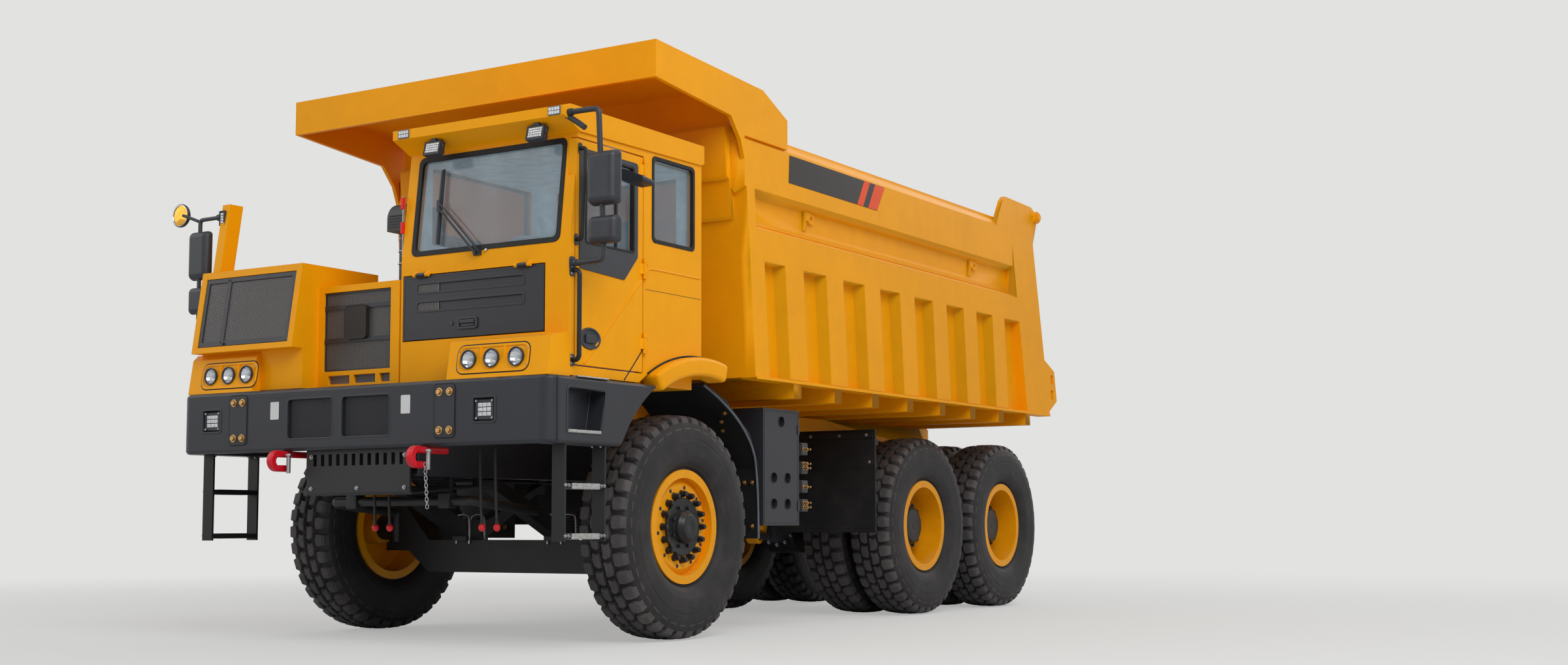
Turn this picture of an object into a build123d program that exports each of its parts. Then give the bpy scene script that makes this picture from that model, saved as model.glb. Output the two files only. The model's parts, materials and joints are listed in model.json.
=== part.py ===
"""Three-axle wide-body mining dump truck, in millimetres.

Frame: X to the vehicle's left, Y to its rear, Z up. Shapes are drawn with the front axle at
FRONT_AXLE_Y and the axle line at HUB_Z. save() then moves them so that the tyres stand on
Z = 0 and the origin is in the middle of the truck's length.
"""

from math import cos, radians, sin, sqrt
import os

from build123d import *

# ---------------------------------------------------------------- driving sizes
# Wheels and axles
TYRE_D = 1400
TYRE_W = 375
RIM_FLANGE_D = 711
RIM_SEAT_D = 635
RIM_W = 254
RIM_WALL = 14
FIT = 0.3                     # gap between a tyre and its rim
FRONT_AXLE_Y = -1990
WHEELBASE = 3515
REAR_TYRE_GAP = 85
HUB_Z = 700                   # height of the axle line in the drawing
FRONT_WHEEL_X = 1220          # centre plane of a front tyre
TWIN_GAP = 37.5               # from the frame to the inner twin's side
TWIN_SPACING = 425
SPINDLE_R = 60
RUNNING = 0.08                # radial clearance of a running fit
KINGPIN_X = 1045
KINGPIN_R = 30
STEER_ARM = 250
NUT_CIRCLE_R = 205
NUT_COUNT = 16
NUT_R = 14
# Chassis
FRAME_HALF_W = 460
FRAME_TOP = 1360
FRAME_H = 360
FRAME_FLANGE = 95
FRAME_PLATE = 14
FRAME_REAR = 3480
# Front end
BUMPER_HALF_W = 1500
BUMPER_FRONT = -3490
BUMPER_BOTTOM = 1165
BUMPER_TOP = 1545
BUMPER_WALL = 60
ARCH_R = 970                  # bumper's rear edge round the front wheel
FRONT_FACE = -3270            # front plane of the cab and the centre grille
DECK_Z = 1555                 # underside of cab and engine cover
# Cab
CAB_X = (170, 1450)
CAB_REAR = -1940
CAB_WALL = 50
CAB_ROOF = 3100
CAB_EAVES = 2975
SCREEN_FOOT = 2300
SCREEN_LEAN = 75
VISOR_FRONT = -3345
DOOR_Y = (-3225, -2560)
DOOR_Z = (1610, 2925)
DOOR_GAP = 9
SCREEN_X = (262, 1362)
SCREEN_Z = (2335, 2915)
GLASS = 6
FLAP_X = (190, 1270)
FLAP_Z = (1815, 2200)
FLAP_T = 30
# Fenders
FENDER_R = (930, 1050)
FENDER_EDGE_X = 1530
LINER_GAP = 140               # from the front tyre to the sheet behind it
LINER_T = 14
# Engine cover
COVER_RIGHT = -1420
COVER_TOP = 2190
RADIATOR_BOX_X = (-1420, -520)
RADIATOR_BOX_FRONT = -3410
RADIATOR_BOX_TOP = 2330
GRILLE_X = (-650, 85)
GRILLE_Z = (1660, 2150)
# Dump bed
BED_HALF_W = 1530
BED_RIB = 80                  # how far ribs and rails stand out of the side plate
BED_PLATE = 30
BED_FRONT = -1430             # front wall at the floor
BED_FLOOR = 1690
BED_LEAN = 0.085              # forward lean of front wall and ribs
RIB_PITCH = 552
RIB_W = 238
RIB_FLARE = 30               # how much wider each half of a rib is at its root
RIB_COUNT = 7
FIRST_RIB_Y = -872            # middle of the first rib at the floor
RAIL_TOP = 3205
RAIL_H = 300
MID_RAIL = (2440, 2685)
RAIL_CREST = 3305
POST_FOOT_Y = 2955
POST_TOP_Y = 2660
TAIL_FOOT_Y = 3445
TAIL_TOP_Y = 3110
CANOPY_FRONT = -2550
CANOPY_TOP = 3640
CANOPY_DEPTH = 230
CANOPY_PLATE = 40
BED_PIVOT = (3280, 1270)
BED_PIN_R = 45
GATE_PIVOT = (3190, 3395)
GATE_PIN_R = 30
GATE_GAP = 8
SILL_W = 110
SILL_INSET = 20               # from the frame's side to the bed's long sills
SILL_Z = (1366, 1560)
# Hoist
HOIST_GAP = 25                # from a sill to the hoist's barrel
HOIST_FOOT = (620, 620)
HOIST_HEAD = (1010, 1530)
HOIST_RADII = (80, 60, 42)    # barrel, middle stage, rod
HOOK_NOSE = -3610             # foremost point of the tow hooks
# Outer limits of the mirrors
MIRROR_LIMIT = 1800

FRONT_Y = FRONT_AXLE_Y
MID_Y = FRONT_AXLE_Y + WHEELBASE
REAR_Y = MID_Y + TYRE_D + REAR_TYRE_GAP
TWIN_INNER_X = FRAME_HALF_W + TWIN_GAP + TYRE_W / 2
TWIN_OUTER_X = TWIN_INNER_X + TWIN_SPACING
SILL_X = (FRAME_HALF_W - SILL_INSET - SILL_W, FRAME_HALF_W - SILL_INSET)
HOIST_X = SILL_X[0] - HOIST_GAP - HOIST_RADII[0]
LINER_Y = FRONT_AXLE_Y + TYRE_D / 2 + LINER_GAP
RAIL_INNER_X = FRAME_HALF_W - FRAME_FLANGE
TO_ORIGIN = (0, -(HOOK_NOSE + REAR_Y + TYRE_D / 2) / 2, TYRE_D / 2 - HUB_Z)
# Axles and steering
KNUCKLE_HALF_H = 100
FORK_T = 58
FORK_GAP = 0.4
ARM_Z = 505
ARM_T = 36
BALL_R = 16
TIE_EYE_R = 26
# Chassis details
GEARBOX_Y = (-1150, -450)
ENGINE_BOTTOM = 1050
SEAT = 0.3                    # gap where one piece rests on another
RAIL_FRONT = -3405
EAR_T = 27                    # how far the bed's hinge ears stand out of the rails
HOIST_FOOT_PIN_R = 30
CROSS_TUBES = (                # y, tube radius
    (-2950, 60),
    (-250, 60),
    ((MID_Y + REAR_Y) / 2, 75),
    (BED_PIVOT[0], 60),
)
BEARER_Z = 1380               # underside of the engine where it lies over the rails
OUTRIGGERS = (                 # y, x range of the arm, x range of the post on it
    (-3200, (RAIL_INNER_X, 1340), (RAIL_INNER_X, 1340)),
    (-3200, (-1340, -RAIL_INNER_X), (-1340, -RAIL_INNER_X)),
    (-1995, (RAIL_INNER_X, 690), (600, 690)),
    (-1995, (-690, -RAIL_INNER_X), (-690, -600)),
)
FLAP_Y = MID_Y - 1000
# Bumper and lamps
LAMP_RECESSES = ((-1215, 1368), (1020, 1364))
LAMP_RECESS = (150, 130, 30)   # width, height, depth
MESH_WINDOWS = ((-540, -165), (-85, 300))
MESH_WINDOW_Z = (1240, 1478)
BUMPER_CORNER_R = 85
# Cab openings
DOOR_ARCH_R = 1090
WELL_X = 1376                 # inner side of the wheel wells
WELL_R = FENDER_R[1] + 40
SIDE_WINDOWS = (               # x of the wall's middle, y range, z range
    (CAB_X[1] - CAB_WALL / 2, (-2465, -2030), (2425, 2935)),
    (CAB_X[0] + CAB_WALL / 2, (-3060, -2120), (2425, 2900)),
)
REAR_WINDOW = ((330, 1290), (2425, 2900))
DOOR_HINGES = (1790, 2240, 2840)
FLAP_HINGES = (340, 1120)
HINGE_R = 12
WHEEL_AT = (860, -2790, 2330)
# Engine cover details
COVER_WALL = 40
BOX_LEAN = 0.15               # how far the radiator box's front leans back
BOX_REAR = -2760
BOX_STEP_Z = 1803
BOX_FOOT_Y = -3400
RIGHT_GRILLE_X = (RADIATOR_BOX_X[0] + 45, RADIATOR_BOX_X[1] - 45)
RIGHT_GRILLE_Z = (1840, 2285)
CENTRE_GRILLE_X = (RADIATOR_BOX_X[1] + 45, GRILLE_X[1])
LAMP_Z = 1655
LAMP_R = 53
LAMP_CLUSTERS = (              # x range of the housing, its back, x of each lamp
    ((720, 1460), FRONT_FACE, (880, 1050, 1230)),
    ((-1460, -880), BOX_FOOT_Y - SEAT, (-1260, -1100, -940)),
)
COWL_AT = (-420, -2790, 2790)
FILTER_R = 125
FILTER_Z = 2470
# Bed details
LATCH_REAR = 3610
HOIST_PIN_R = 28
HOIST_EYE_W = 90
CANOPY_REAR = -1330
CANOPY_REAR_TOP = 3580
CANOPY_FLANGE = 30
WALL_TOP = 3560


# ---------------------------------------------------------------- helpers
def block(x, y, z):
    """A box between the two values of each pair."""
    size = [high - low for low, high in (x, y, z)]
    middle = [(high + low) / 2 for low, high in (x, y, z)]
    return Pos(*middle) * Box(*size)


def prism(plane, outline, low, high):
    """An outline drawn on a plane, between two heights over it."""
    face = plane.offset(low) * make_face(Polyline(*outline, close=True))
    return extrude(face, amount=high - low)


def prism_x(outline, x):
    """(y, z) outline between two x values."""
    return prism(Plane.YZ, outline, *x)


def prism_y(outline, y):
    """(x, z) outline between two y values."""
    return prism(Plane(origin=(0, 0, 0), x_dir=(1, 0, 0), z_dir=(0, -1, 0)), outline, -y[1], -y[0])


def rod(start, end, radius):
    """A round bar from one point to another."""
    start, end = Vector(*start), Vector(*end)
    plane = Plane(origin=start, z_dir=(end - start).normalized())
    return extrude(plane * Circle(radius), amount=(end - start).length)


def pipe(points, radius, bend):
    """A round bar through points, with arcs of radius bend at the corners."""
    path = FilletPolyline(*points, radius=bend)
    plane = Plane(origin=path @ 0, z_dir=path % 0)
    return sweep(plane * Circle(radius), path=path)


def turned(profile, centre):
    """An (x, radius) profile turned about a line along X through a point."""
    return Pos(*centre) * revolve(make_face(Polyline(*profile, close=True)), Axis.X)


def both_sides(shape):
    """A shape on the left and its mirror image on the right."""
    return shape + mirror(shape, about=Plane.YZ)


def spun_holes(centre, circle_r, hole_r, count, x, phase=0):
    """Drills along X, spaced round a circle."""
    holes = []
    for i in range(count):
        angle = radians(phase + 360 * i / count)
        y, z = centre[0] + circle_r * cos(angle), centre[1] + circle_r * sin(angle)
        holes.append(rod((x[0], y, z), (x[1], y, z), hole_r))
    return holes


def save(shape, node):
    export_step(Pos(*TO_ORIGIN) * shape, f"parts/{node}.step")


def hinge(start, end, radius, leaf_out):
    """Barrel pieces of a hinge on the line from start to end, along one axis.

    Returns the moving barrel, with its bore, and the fixed pin with a collar at each end.
    leaf_out is the vector from the pin to where the fixed leaves meet their panel.
    """
    start, end = Vector(*start), Vector(*end)
    step = (end - start).normalized()
    knuckle_length = (end - start).length / 5
    moving_from, moving_to = start + step * (knuckle_length + 1), end - step * (knuckle_length + 1)
    bore = radius / 2 + RUNNING
    moving = rod(moving_from, moving_to, radius) - rod(start - step, end + step, bore)
    fixed = rod(start, end, radius / 2)
    for low in (start, end - step * knuckle_length):
        high = low + step * knuckle_length
        fixed += rod(low, high, radius)
        fixed += bar_between(low, high, leaf_out, radius * 0.8)
    return moving, fixed


def bar_between(low, high, reach, thickness):
    """Flat leaf from a pin's line to the points that lie reach away from it."""
    low, high, reach = Vector(*low), Vector(*high), Vector(*reach)
    plane = Plane(origin=low, x_dir=reach.normalized(), z_dir=(high - low).normalized())
    leaf = plane * Pos(reach.length / 2, 0, (high - low).length / 2)
    return leaf * Box(reach.length, thickness, (high - low).length)


def bed_lean(z):
    """How far the front wall and the ribs lean forward at a height."""
    return -BED_LEAN * (z - BED_FLOOR)


def on_line(z, low, high):
    """y at a height on the line between two (y, z) points."""
    return low[0] + (high[0] - low[0]) * (z - low[1]) / (high[1] - low[1])


# ---------------------------------------------------------------- wheels
def tyre(x, y):
    seat, half_w, half_rim = RIM_SEAT_D / 2 + FIT, TYRE_W / 2, RIM_W / 2 - FIT
    outer, lip = TYRE_D / 2, RIM_FLANGE_D / 2 + 12
    right = [(half_rim, seat), (half_rim, lip), (half_w - 22, lip + 40)]
    bulge = (half_w, (lip + outer) / 2 + 10)
    shoulder = (half_w - 22, outer - 50)
    edge = (half_w - 42, outer - 6)

    def flip(point):
        return (-point[0], point[1])

    outline = [
        Line(flip(right[0]), right[0]),
        Line(right[0], right[1]),
        Line(right[1], right[2]),
        ThreePointArc(right[2], bulge, shoulder),
        Line(shoulder, edge),
        ThreePointArc(edge, (0, outer), flip(edge)),
        Line(flip(edge), flip(shoulder)),
        ThreePointArc(flip(shoulder), flip(bulge), flip(right[2])),
        Line(flip(right[2]), flip(right[1])),
        Line(flip(right[1]), flip(right[0])),
    ]
    return Pos(x, y, HUB_Z) * revolve(make_face(outline), Axis.X)


def rim_barrel(x, y):
    seat, flange = RIM_SEAT_D / 2, RIM_FLANGE_D / 2
    half, wall = RIM_W / 2, RIM_WALL
    outside = half + wall
    return turned([(-outside, seat - wall), (outside, seat - wall), (outside, flange),
                   (half, flange), (half, seat), (-half, seat), (-half, flange),
                   (-outside, flange)], (x, y, HUB_Z))


def front_wheel():
    """Left front wheel: rim, flat disc near the outside, and hub with studs."""
    x = FRONT_WHEEL_X
    inner_r = RIM_SEAT_D / 2 - RIM_WALL
    disc_x = 96
    disc = turned([(disc_x - 40, inner_r + 2), (disc_x - 14, inner_r + 2), (disc_x + 14, 262),
                   (disc_x + 14, 150), (disc_x - 4, 150), (disc_x - 4, 262)],
                  (x, FRONT_Y, HUB_Z))
    bore = SPINDLE_R + RUNNING
    hub = turned([(-30, bore), (disc_x + 20, bore), (disc_x + 20, 0), (disc_x + 88, 0),
                  (disc_x + 88, 70), (disc_x + 60, 88), (disc_x + 30, 96), (disc_x + 30, 178),
                  (disc_x + 14, 178), (disc_x - 4, 178), (disc_x - 30, 120), (-30, 110)],
                 (x, FRONT_Y, HUB_Z))
    wheel = rim_barrel(x, FRONT_Y) + disc + hub
    face = x + disc_x
    for stud in spun_holes((FRONT_Y, HUB_Z), NUT_CIRCLE_R, NUT_R, NUT_COUNT, (face, face + 52)):
        wheel += stud
    return wheel


def twin_rims(y):
    """Left pair of rear rims, bolted back to back on one recessed hub."""
    inner_r = RIM_SEAT_D / 2 - RIM_WALL
    middle = (TWIN_OUTER_X + TWIN_INNER_X) / 2
    reach = TWIN_SPACING / 2 - RIM_W / 2 + 6
    disc = [(-reach, inner_r + 2), (-reach - 18, inner_r + 2), (-9, 225), (-9, 150),
            (9, 150), (9, 225), (reach + 18, inner_r + 2), (reach, inner_r + 2),
            (0.5, 243), (-0.5, 243)]
    bore = SPINDLE_R + RUNNING
    hub = [(-95, bore), (215, bore), (215, 0), (260, 0), (260, 120), (240, 142), (60, 152),
           (60, 178), (-40, 178), (-40, 130), (-95, 130)]
    rims = rim_barrel(TWIN_OUTER_X, y) + rim_barrel(TWIN_INNER_X, y)
    rims += turned(disc, (middle, y, HUB_Z)) + turned(hub, (middle, y, HUB_Z))
    return rims


def build_wheels():
    front_tyre, front_rim = tyre(FRONT_WHEEL_X, FRONT_Y), front_wheel()
    save(front_tyre, "tyre_front_left")
    save(front_rim, "wheel_front_left")
    save(mirror(front_tyre, about=Plane.YZ), "tyre_front_right")
    save(mirror(front_rim, about=Plane.YZ), "wheel_front_right")
    for row, y in (("middle", MID_Y), ("rear", REAR_Y)):
        tyres = Compound([tyre(TWIN_OUTER_X, y), tyre(TWIN_INNER_X, y)])
        rims = twin_rims(y)
        save(tyres, f"tyres_{row}_left")
        save(rims, f"wheels_{row}_left")
        save(mirror(tyres, about=Plane.YZ), f"tyres_{row}_right")
        save(mirror(rims, about=Plane.YZ), f"wheels_{row}_right")


# ---------------------------------------------------------------- axles and steering


def front_axle():
    """Dropped beam with a fork and a kingpin at each end, and two spring seats."""
    z = HUB_Z
    low, high = z - KNUCKLE_HALF_H - FORK_T, z + KNUCKLE_HALF_H + FORK_T
    web_x = KINGPIN_X - 75
    top, bottom = 615, 400
    beam = prism_y([(-web_x, low), (-web_x + 90, low), (-700, bottom), (700, bottom),
                    (web_x - 90, low), (web_x, low), (web_x, high), (web_x - 45, high),
                    (700, top), (-700, top), (-web_x + 45, high), (-web_x, high)],
                   (FRONT_Y - 70, FRONT_Y + 70))
    fork = Compound([])
    end = KINGPIN_X + 55
    for z0, z1 in ((low, low + FORK_T), (high - FORK_T, high)):
        fork += block((web_x - 5, end), (FRONT_Y - 55, FRONT_Y + 55), (z0 + FORK_GAP, z1 - FORK_GAP))
    fork += rod((KINGPIN_X, FRONT_Y, low + 5), (KINGPIN_X, FRONT_Y, high - 5), KINGPIN_R)
    seat = block((330, 450), (FRONT_Y - 110, FRONT_Y + 110), (top - 5, 640))
    return beam + both_sides(fork) + both_sides(seat)


def knuckle():
    """Left steering knuckle: kingpin boss, spindle and steering arm."""
    z, low, high = HUB_Z, HUB_Z - KNUCKLE_HALF_H, HUB_Z + KNUCKLE_HALF_H
    body = rod((KINGPIN_X, FRONT_Y, low), (KINGPIN_X, FRONT_Y, high), 62)
    body += rod((KINGPIN_X, FRONT_Y, z), (FRONT_WHEEL_X - 45, FRONT_Y, z), 85)
    body += rod((KINGPIN_X, FRONT_Y, z), (FRONT_WHEEL_X + 110, FRONT_Y, z), SPINDLE_R)
    back = FRONT_Y + STEER_ARM
    arm_top = ARM_Z + 20 + ARM_T
    arm_x = (KINGPIN_X - 30, KINGPIN_X + BALL_R + 1)
    body += block(arm_x, (FRONT_Y + 30, back + 34), (low + 8, low + 58))
    body += block(arm_x, (back - 34, back + 34), (arm_top - ARM_T, low + 20))
    body += rod((KINGPIN_X, back, ARM_Z - 22), (KINGPIN_X, back, arm_top), BALL_R)
    body -= rod((KINGPIN_X, FRONT_Y, low - 5), (KINGPIN_X, FRONT_Y, high + 5), KINGPIN_R + RUNNING)
    return body


def tie_rod():
    """Bar between the two steering arms, with an eye at each end."""
    x, y = KINGPIN_X, FRONT_Y + STEER_ARM
    eye = rod((x, y, ARM_Z - 20), (x, y, ARM_Z + 18), TIE_EYE_R)
    bar = both_sides(eye) + rod((-x + 20, y, ARM_Z), (x - 20, y, ARM_Z), 20)
    hole = rod((x, y, ARM_Z - 40), (x, y, ARM_Z + 40), BALL_R + RUNNING)
    return bar - both_sides(hole)


def axle_housing(y):
    """Rear axle: banjo housing with a round bowl, tube and spindles."""
    z = HUB_Z
    bowl = rod((-150, y, z), (150, y, z), 225)
    tube = rod((-760, y, z), (760, y, z), 105)
    spindle_end = (TWIN_OUTER_X + TWIN_INNER_X) / 2 + 205
    spindle = rod((-spindle_end, y, z), (spindle_end, y, z), SPINDLE_R)
    brake = rod((560, y, z), (585, y, z), 190)
    seat = block((330, 450), (y - 70, y + 70), (z + 60, z + 130))
    return bowl + tube + spindle + both_sides(brake) + both_sides(seat)


def rear_axles():
    """Both driven axles, with the shaft between them and the one from the gearbox."""
    z = HUB_Z + 60
    shafts = rod((0, GEARBOX_Y[1], z), (0, MID_Y - 180, z), 48)
    shafts += rod((0, MID_Y + 180, z), (0, REAR_Y - 180, z), 48)
    for y in (MID_Y - 260, MID_Y + 260, REAR_Y - 260):
        shafts += rod((0, y - 30, z), (0, y + 30, z), 75)
    return axle_housing(MID_Y) + axle_housing(REAR_Y) + shafts


def springs():
    """Front leaf packs and the balanced rear packs, each one stepped bar on its seats."""
    x = (FRAME_HALF_W - 120, FRAME_HALF_W - 20)
    y, low = FRONT_Y, 640
    front = prism_x([(y - 720, 930), (y - 720, 990), (y - 700, 1000), (y - 660, 985),
                     (y - 120, low + 110), (y + 120, low + 110), (y + 660, 985), (y + 700, 1000),
                     (y + 720, 990), (y + 720, 930), (y + 640, 930), (y + 120, low),
                     (y - 120, low)], x)
    middle = (MID_Y + REAR_Y) / 2
    seat = HUB_Z + 130
    rear = prism_x([(MID_Y - 90, seat), (MID_Y - 90, seat + 40), (middle - 500, seat + 70),
                    (middle - 110, 1000), (middle + 110, 1000), (middle + 500, seat + 70),
                    (REAR_Y + 90, seat + 40), (REAR_Y + 90, seat), (middle + 480, seat),
                    (middle + 110, seat + 20), (middle - 110, seat + 20), (middle - 480, seat)], x)
    return Compound([front, mirror(front, about=Plane.YZ), rear, mirror(rear, about=Plane.YZ)])


# ---------------------------------------------------------------- chassis


def frame_rails():
    """Two channel rails, their cross tubes, cab outriggers and the bed's hinge ears."""
    top, bottom = FRAME_TOP, FRAME_TOP - FRAME_H
    outer, inner, plate = FRAME_HALF_W, FRAME_HALF_W - FRAME_FLANGE, FRAME_PLATE
    section = [(inner, bottom), (outer, bottom), (outer, top), (inner, top),
               (inner, top - plate), (outer - plate, top - plate),
               (outer - plate, bottom + plate), (inner, bottom + plate)]
    rail = prism_y(section, (RAIL_FRONT, FRAME_REAR))
    rail += block((inner, outer), (BUMPER_FRONT + BUMPER_WALL + SEAT, RAIL_FRONT + 15),
                  (BUMPER_BOTTOM + 10, top))
    frame = both_sides(rail)
    web = outer - plate / 2
    for y, radius in CROSS_TUBES:
        frame += rod((-web, y, bottom + 110), (web, y, bottom + 110), radius)
    # foot of the hoists: a cross box, two side cheeks and the pin through both barrels
    y, z = HOIST_FOOT
    frame += block((-outer + 4, outer - 4), (y - 50, y + 50), (bottom + 2, bottom + 40))
    frame += rod((-outer + 30, y, z), (outer - 30, y, z), HOIST_FOOT_PIN_R)
    cheek = block((outer - 50, outer - 10), (y - 50, y + 50), (z - 45, bottom + 10))
    frame += both_sides(cheek)
    # hinge ears of the bed
    y, z = BED_PIVOT
    ear = block((outer - 4, outer + EAR_T), (y - 95, y + 95), (bottom + 60, z))
    ear += rod((outer - 4, y, z), (outer + EAR_T, y, z), 95)
    frame += both_sides(ear)
    frame -= both_sides(rod((outer - plate - 1, y, z), (outer + EAR_T + 1, y, z),
                            BED_PIN_R + RUNNING))
    for y, arm, post in OUTRIGGERS:
        frame += block(arm, (y - 45, y + 45), (top - 10, BEARER_Z - 8))
        frame += block(post, (y - 45, y + 45), (top - 10, DECK_Z - SEAT))
    # spring hangers
    for y in (FRONT_Y - 710, FRONT_Y + 710):
        frame += both_sides(block((345, outer + 10), (y - 40, y + 40), (bottom, bottom + 80)))
    middle = (MID_Y + REAR_Y) / 2
    frame += both_sides(block((345, outer + 10), (middle - 105, middle + 105),
                              (bottom, bottom + 100)))
    # cradles under the engine and the gearbox
    for y in (-2700, GEARBOX_Y[0] + 100):
        frame += block((-web, web), (y - 40, y + 40), (bottom + 3, ENGINE_BOTTOM - SEAT))
    return frame


def engine():
    """Engine and gearbox as one plain heavy block, with the output flange."""
    core = block((-335, 335), (-2880, -1480), (ENGINE_BOTTOM, FRAME_TOP - 20))
    core += block((-340, 70), (-2880, -1700), (FRAME_TOP - 30, 1950))
    core += block((-560, 70), (-2860, -1800), (BEARER_Z, 1900))
    core += block((-220, 220), (-1490, GEARBOX_Y[0] + 10), (ENGINE_BOTTOM, FRAME_TOP - 30))
    gearbox = block((-230, 230), GEARBOX_Y, (ENGINE_BOTTOM, FRAME_TOP - 30))
    drop = block((-110, 110), (GEARBOX_Y[1] - 160, GEARBOX_Y[1]), (HUB_Z - 20, ENGINE_BOTTOM + 5))
    return core + gearbox + drop


# ---------------------------------------------------------------- front end


def bumper():
    """Pressed front bumper with side boxes that end round the front wheels."""
    w, y0, z0, z1 = BUMPER_HALF_W, BUMPER_FRONT, BUMPER_BOTTOM, BUMPER_TOP
    rear = FRONT_Y - 480
    outer = block((-w, w), (y0, rear), (z0, z1))
    outer = fillet(outer.edges().filter_by(Axis.Z).group_by(Axis.Y)[0], BUMPER_CORNER_R)
    outer = chamfer(outer.edges().group_by(Axis.Z)[-1], 16)
    outer = chamfer(outer.edges().group_by(Axis.Z)[0], 16)
    wall = BUMPER_WALL
    hollow = block((-w + 150, w - 150), (y0 + wall, rear + 10), (z0 - 10, z1 + 10))
    arch = rod((-w - 10, FRONT_Y, HUB_Z), (w + 10, FRONT_Y, HUB_Z), ARCH_R)
    shell = outer - hollow - arch
    width, height, depth = LAMP_RECESS
    for x, z in LAMP_RECESSES:
        shell -= block((x - width / 2, x + width / 2), (y0 - 5, y0 + depth),
                       (z - height / 2, z + height / 2))
    for x in MESH_WINDOWS:
        shell -= block(x, (y0 - 5, y0 + wall + 5), MESH_WINDOW_Z)
    # a foothold in each side box
    step = prism_x([(y0 + 150, z0 + 75), (y0 + 450, z0 + 65), (y0 + 500, z1 - 75),
                    (y0 + 150, z1 - 62)], (w - 110, w + 10))
    return shell - both_sides(step)


def skid_plate():
    """Slotted guard under the radiator, hung from the rails at its rear edge."""
    top, foot, back = BUMPER_BOTTOM - SEAT, 905, 960
    plate = prism_x([(-3440, top), (-3425, top), (-3425, foot + 10), (-3410, foot), (-2800, back),
                     (-2800, back - 12), (-3415, foot - 12), (-3440, foot + 5)], (-420, 420))
    for i in range(12):
        x = -352 + i * 64
        plate -= block((x - 14, x + 14), (-3460, -3400), (1070, 1140))
    hanger = block((380, 420), (-2850, -2800), (back - 10, FRAME_TOP - FRAME_H - SEAT))
    return plate + both_sides(hanger)


def tow_hook():
    """Forged open hook on the left, fixed under the bumper."""
    x, z = 565, 1105
    shank = block((x - 24, x + 24), (-3545, -3290), (z + 22, BUMPER_BOTTOM - 0.3))
    nose = rod((x - 24, -3545, z), (x + 24, -3545, z), 65)
    lip = block((x - 24, x + 24), (-3545, -3455), (z - 65, z - 25))
    mouth = rod((x - 30, -3540, z - 2), (x + 30, -3540, z - 2), 26)
    slot = block((x - 30, x + 30), (-3540, -3400), (z - 25, z + 22))
    return shank + nose + lip - mouth - slot


def ladder():
    """Left boarding ladder under the bumper's side box: two side plates, two treads."""
    x, y = (BUMPER_HALF_W - 120, BUMPER_HALF_W - 30), (-3325, -2945)
    plates = block(x, (y[0], y[0] + 14), (620, BUMPER_BOTTOM - SEAT))
    plates += block(x, (y[1] - 14, y[1]), (620, BUMPER_BOTTOM - SEAT))
    for z in (930, 648):
        plates += block((x[0] + 5, x[1] - 5), (y[0] + 10, y[1] - 10), (z - 14, z + 14))
    return plates


def ladders_and_rails():
    """Both boarding ladders and the cab's two grab rails."""
    face, y = CAB_X[1], -3243
    lower = pipe([(face + SEAT, y, 2150), (face + 52, y, 2150), (face + 52, y, 1640),
                  (face + SEAT, y, 1640)], 14, 28)
    upper = pipe([(face + SEAT, y + 62, 2860), (face + 44, y + 62, 2860),
                  (face + 44, y + 30, 2330), (face + SEAT, y + 30, 2330)], 12, 20)
    return Compound([ladder(), mirror(ladder(), about=Plane.YZ), lower, upper])


def headlamps():
    """Housings of the two lamp clusters, flush with the bumper below them."""
    clusters = []
    face, base = BUMPER_FRONT + 18, BUMPER_TOP + SEAT
    for x, back, lamps in LAMP_CLUSTERS:
        housing = prism_x([(face, base), (back, base), (back, 1800), (face + 35, 1765)], x)
        for lamp in lamps:
            housing -= rod((lamp, face - 20, LAMP_Z), (lamp, face + 45, LAMP_Z), LAMP_R)
        clusters.append(housing)
    return Compound(clusters)


# ---------------------------------------------------------------- cab
def cab_profile(inset):
    """Side outline of the cab, moved inwards by inset."""
    front, rear = FRONT_FACE + inset, CAB_REAR - inset
    return [(front, DECK_Z + inset), (front, SCREEN_FOOT), (front + SCREEN_LEAN, CAB_EAVES - inset),
            (rear, CAB_EAVES - inset), (rear, DECK_Z + inset)]


def door_outline(gap):
    y0, y1, z0, z1 = *DOOR_Y, *DOOR_Z
    return block((CAB_X[1] - CAB_WALL, CAB_X[1]), (y0 + gap, y1 - gap), (z0 + gap, z1 - gap))


def door_window(grow=0):
    y0, y1 = DOOR_Y[0] + 80, DOOR_Y[1] - 85
    return block((CAB_X[1] - CAB_WALL - 5, CAB_X[1] + 5), (y0 - grow, y1 + grow),
                 (2300 - grow, 2850 + grow))


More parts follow.
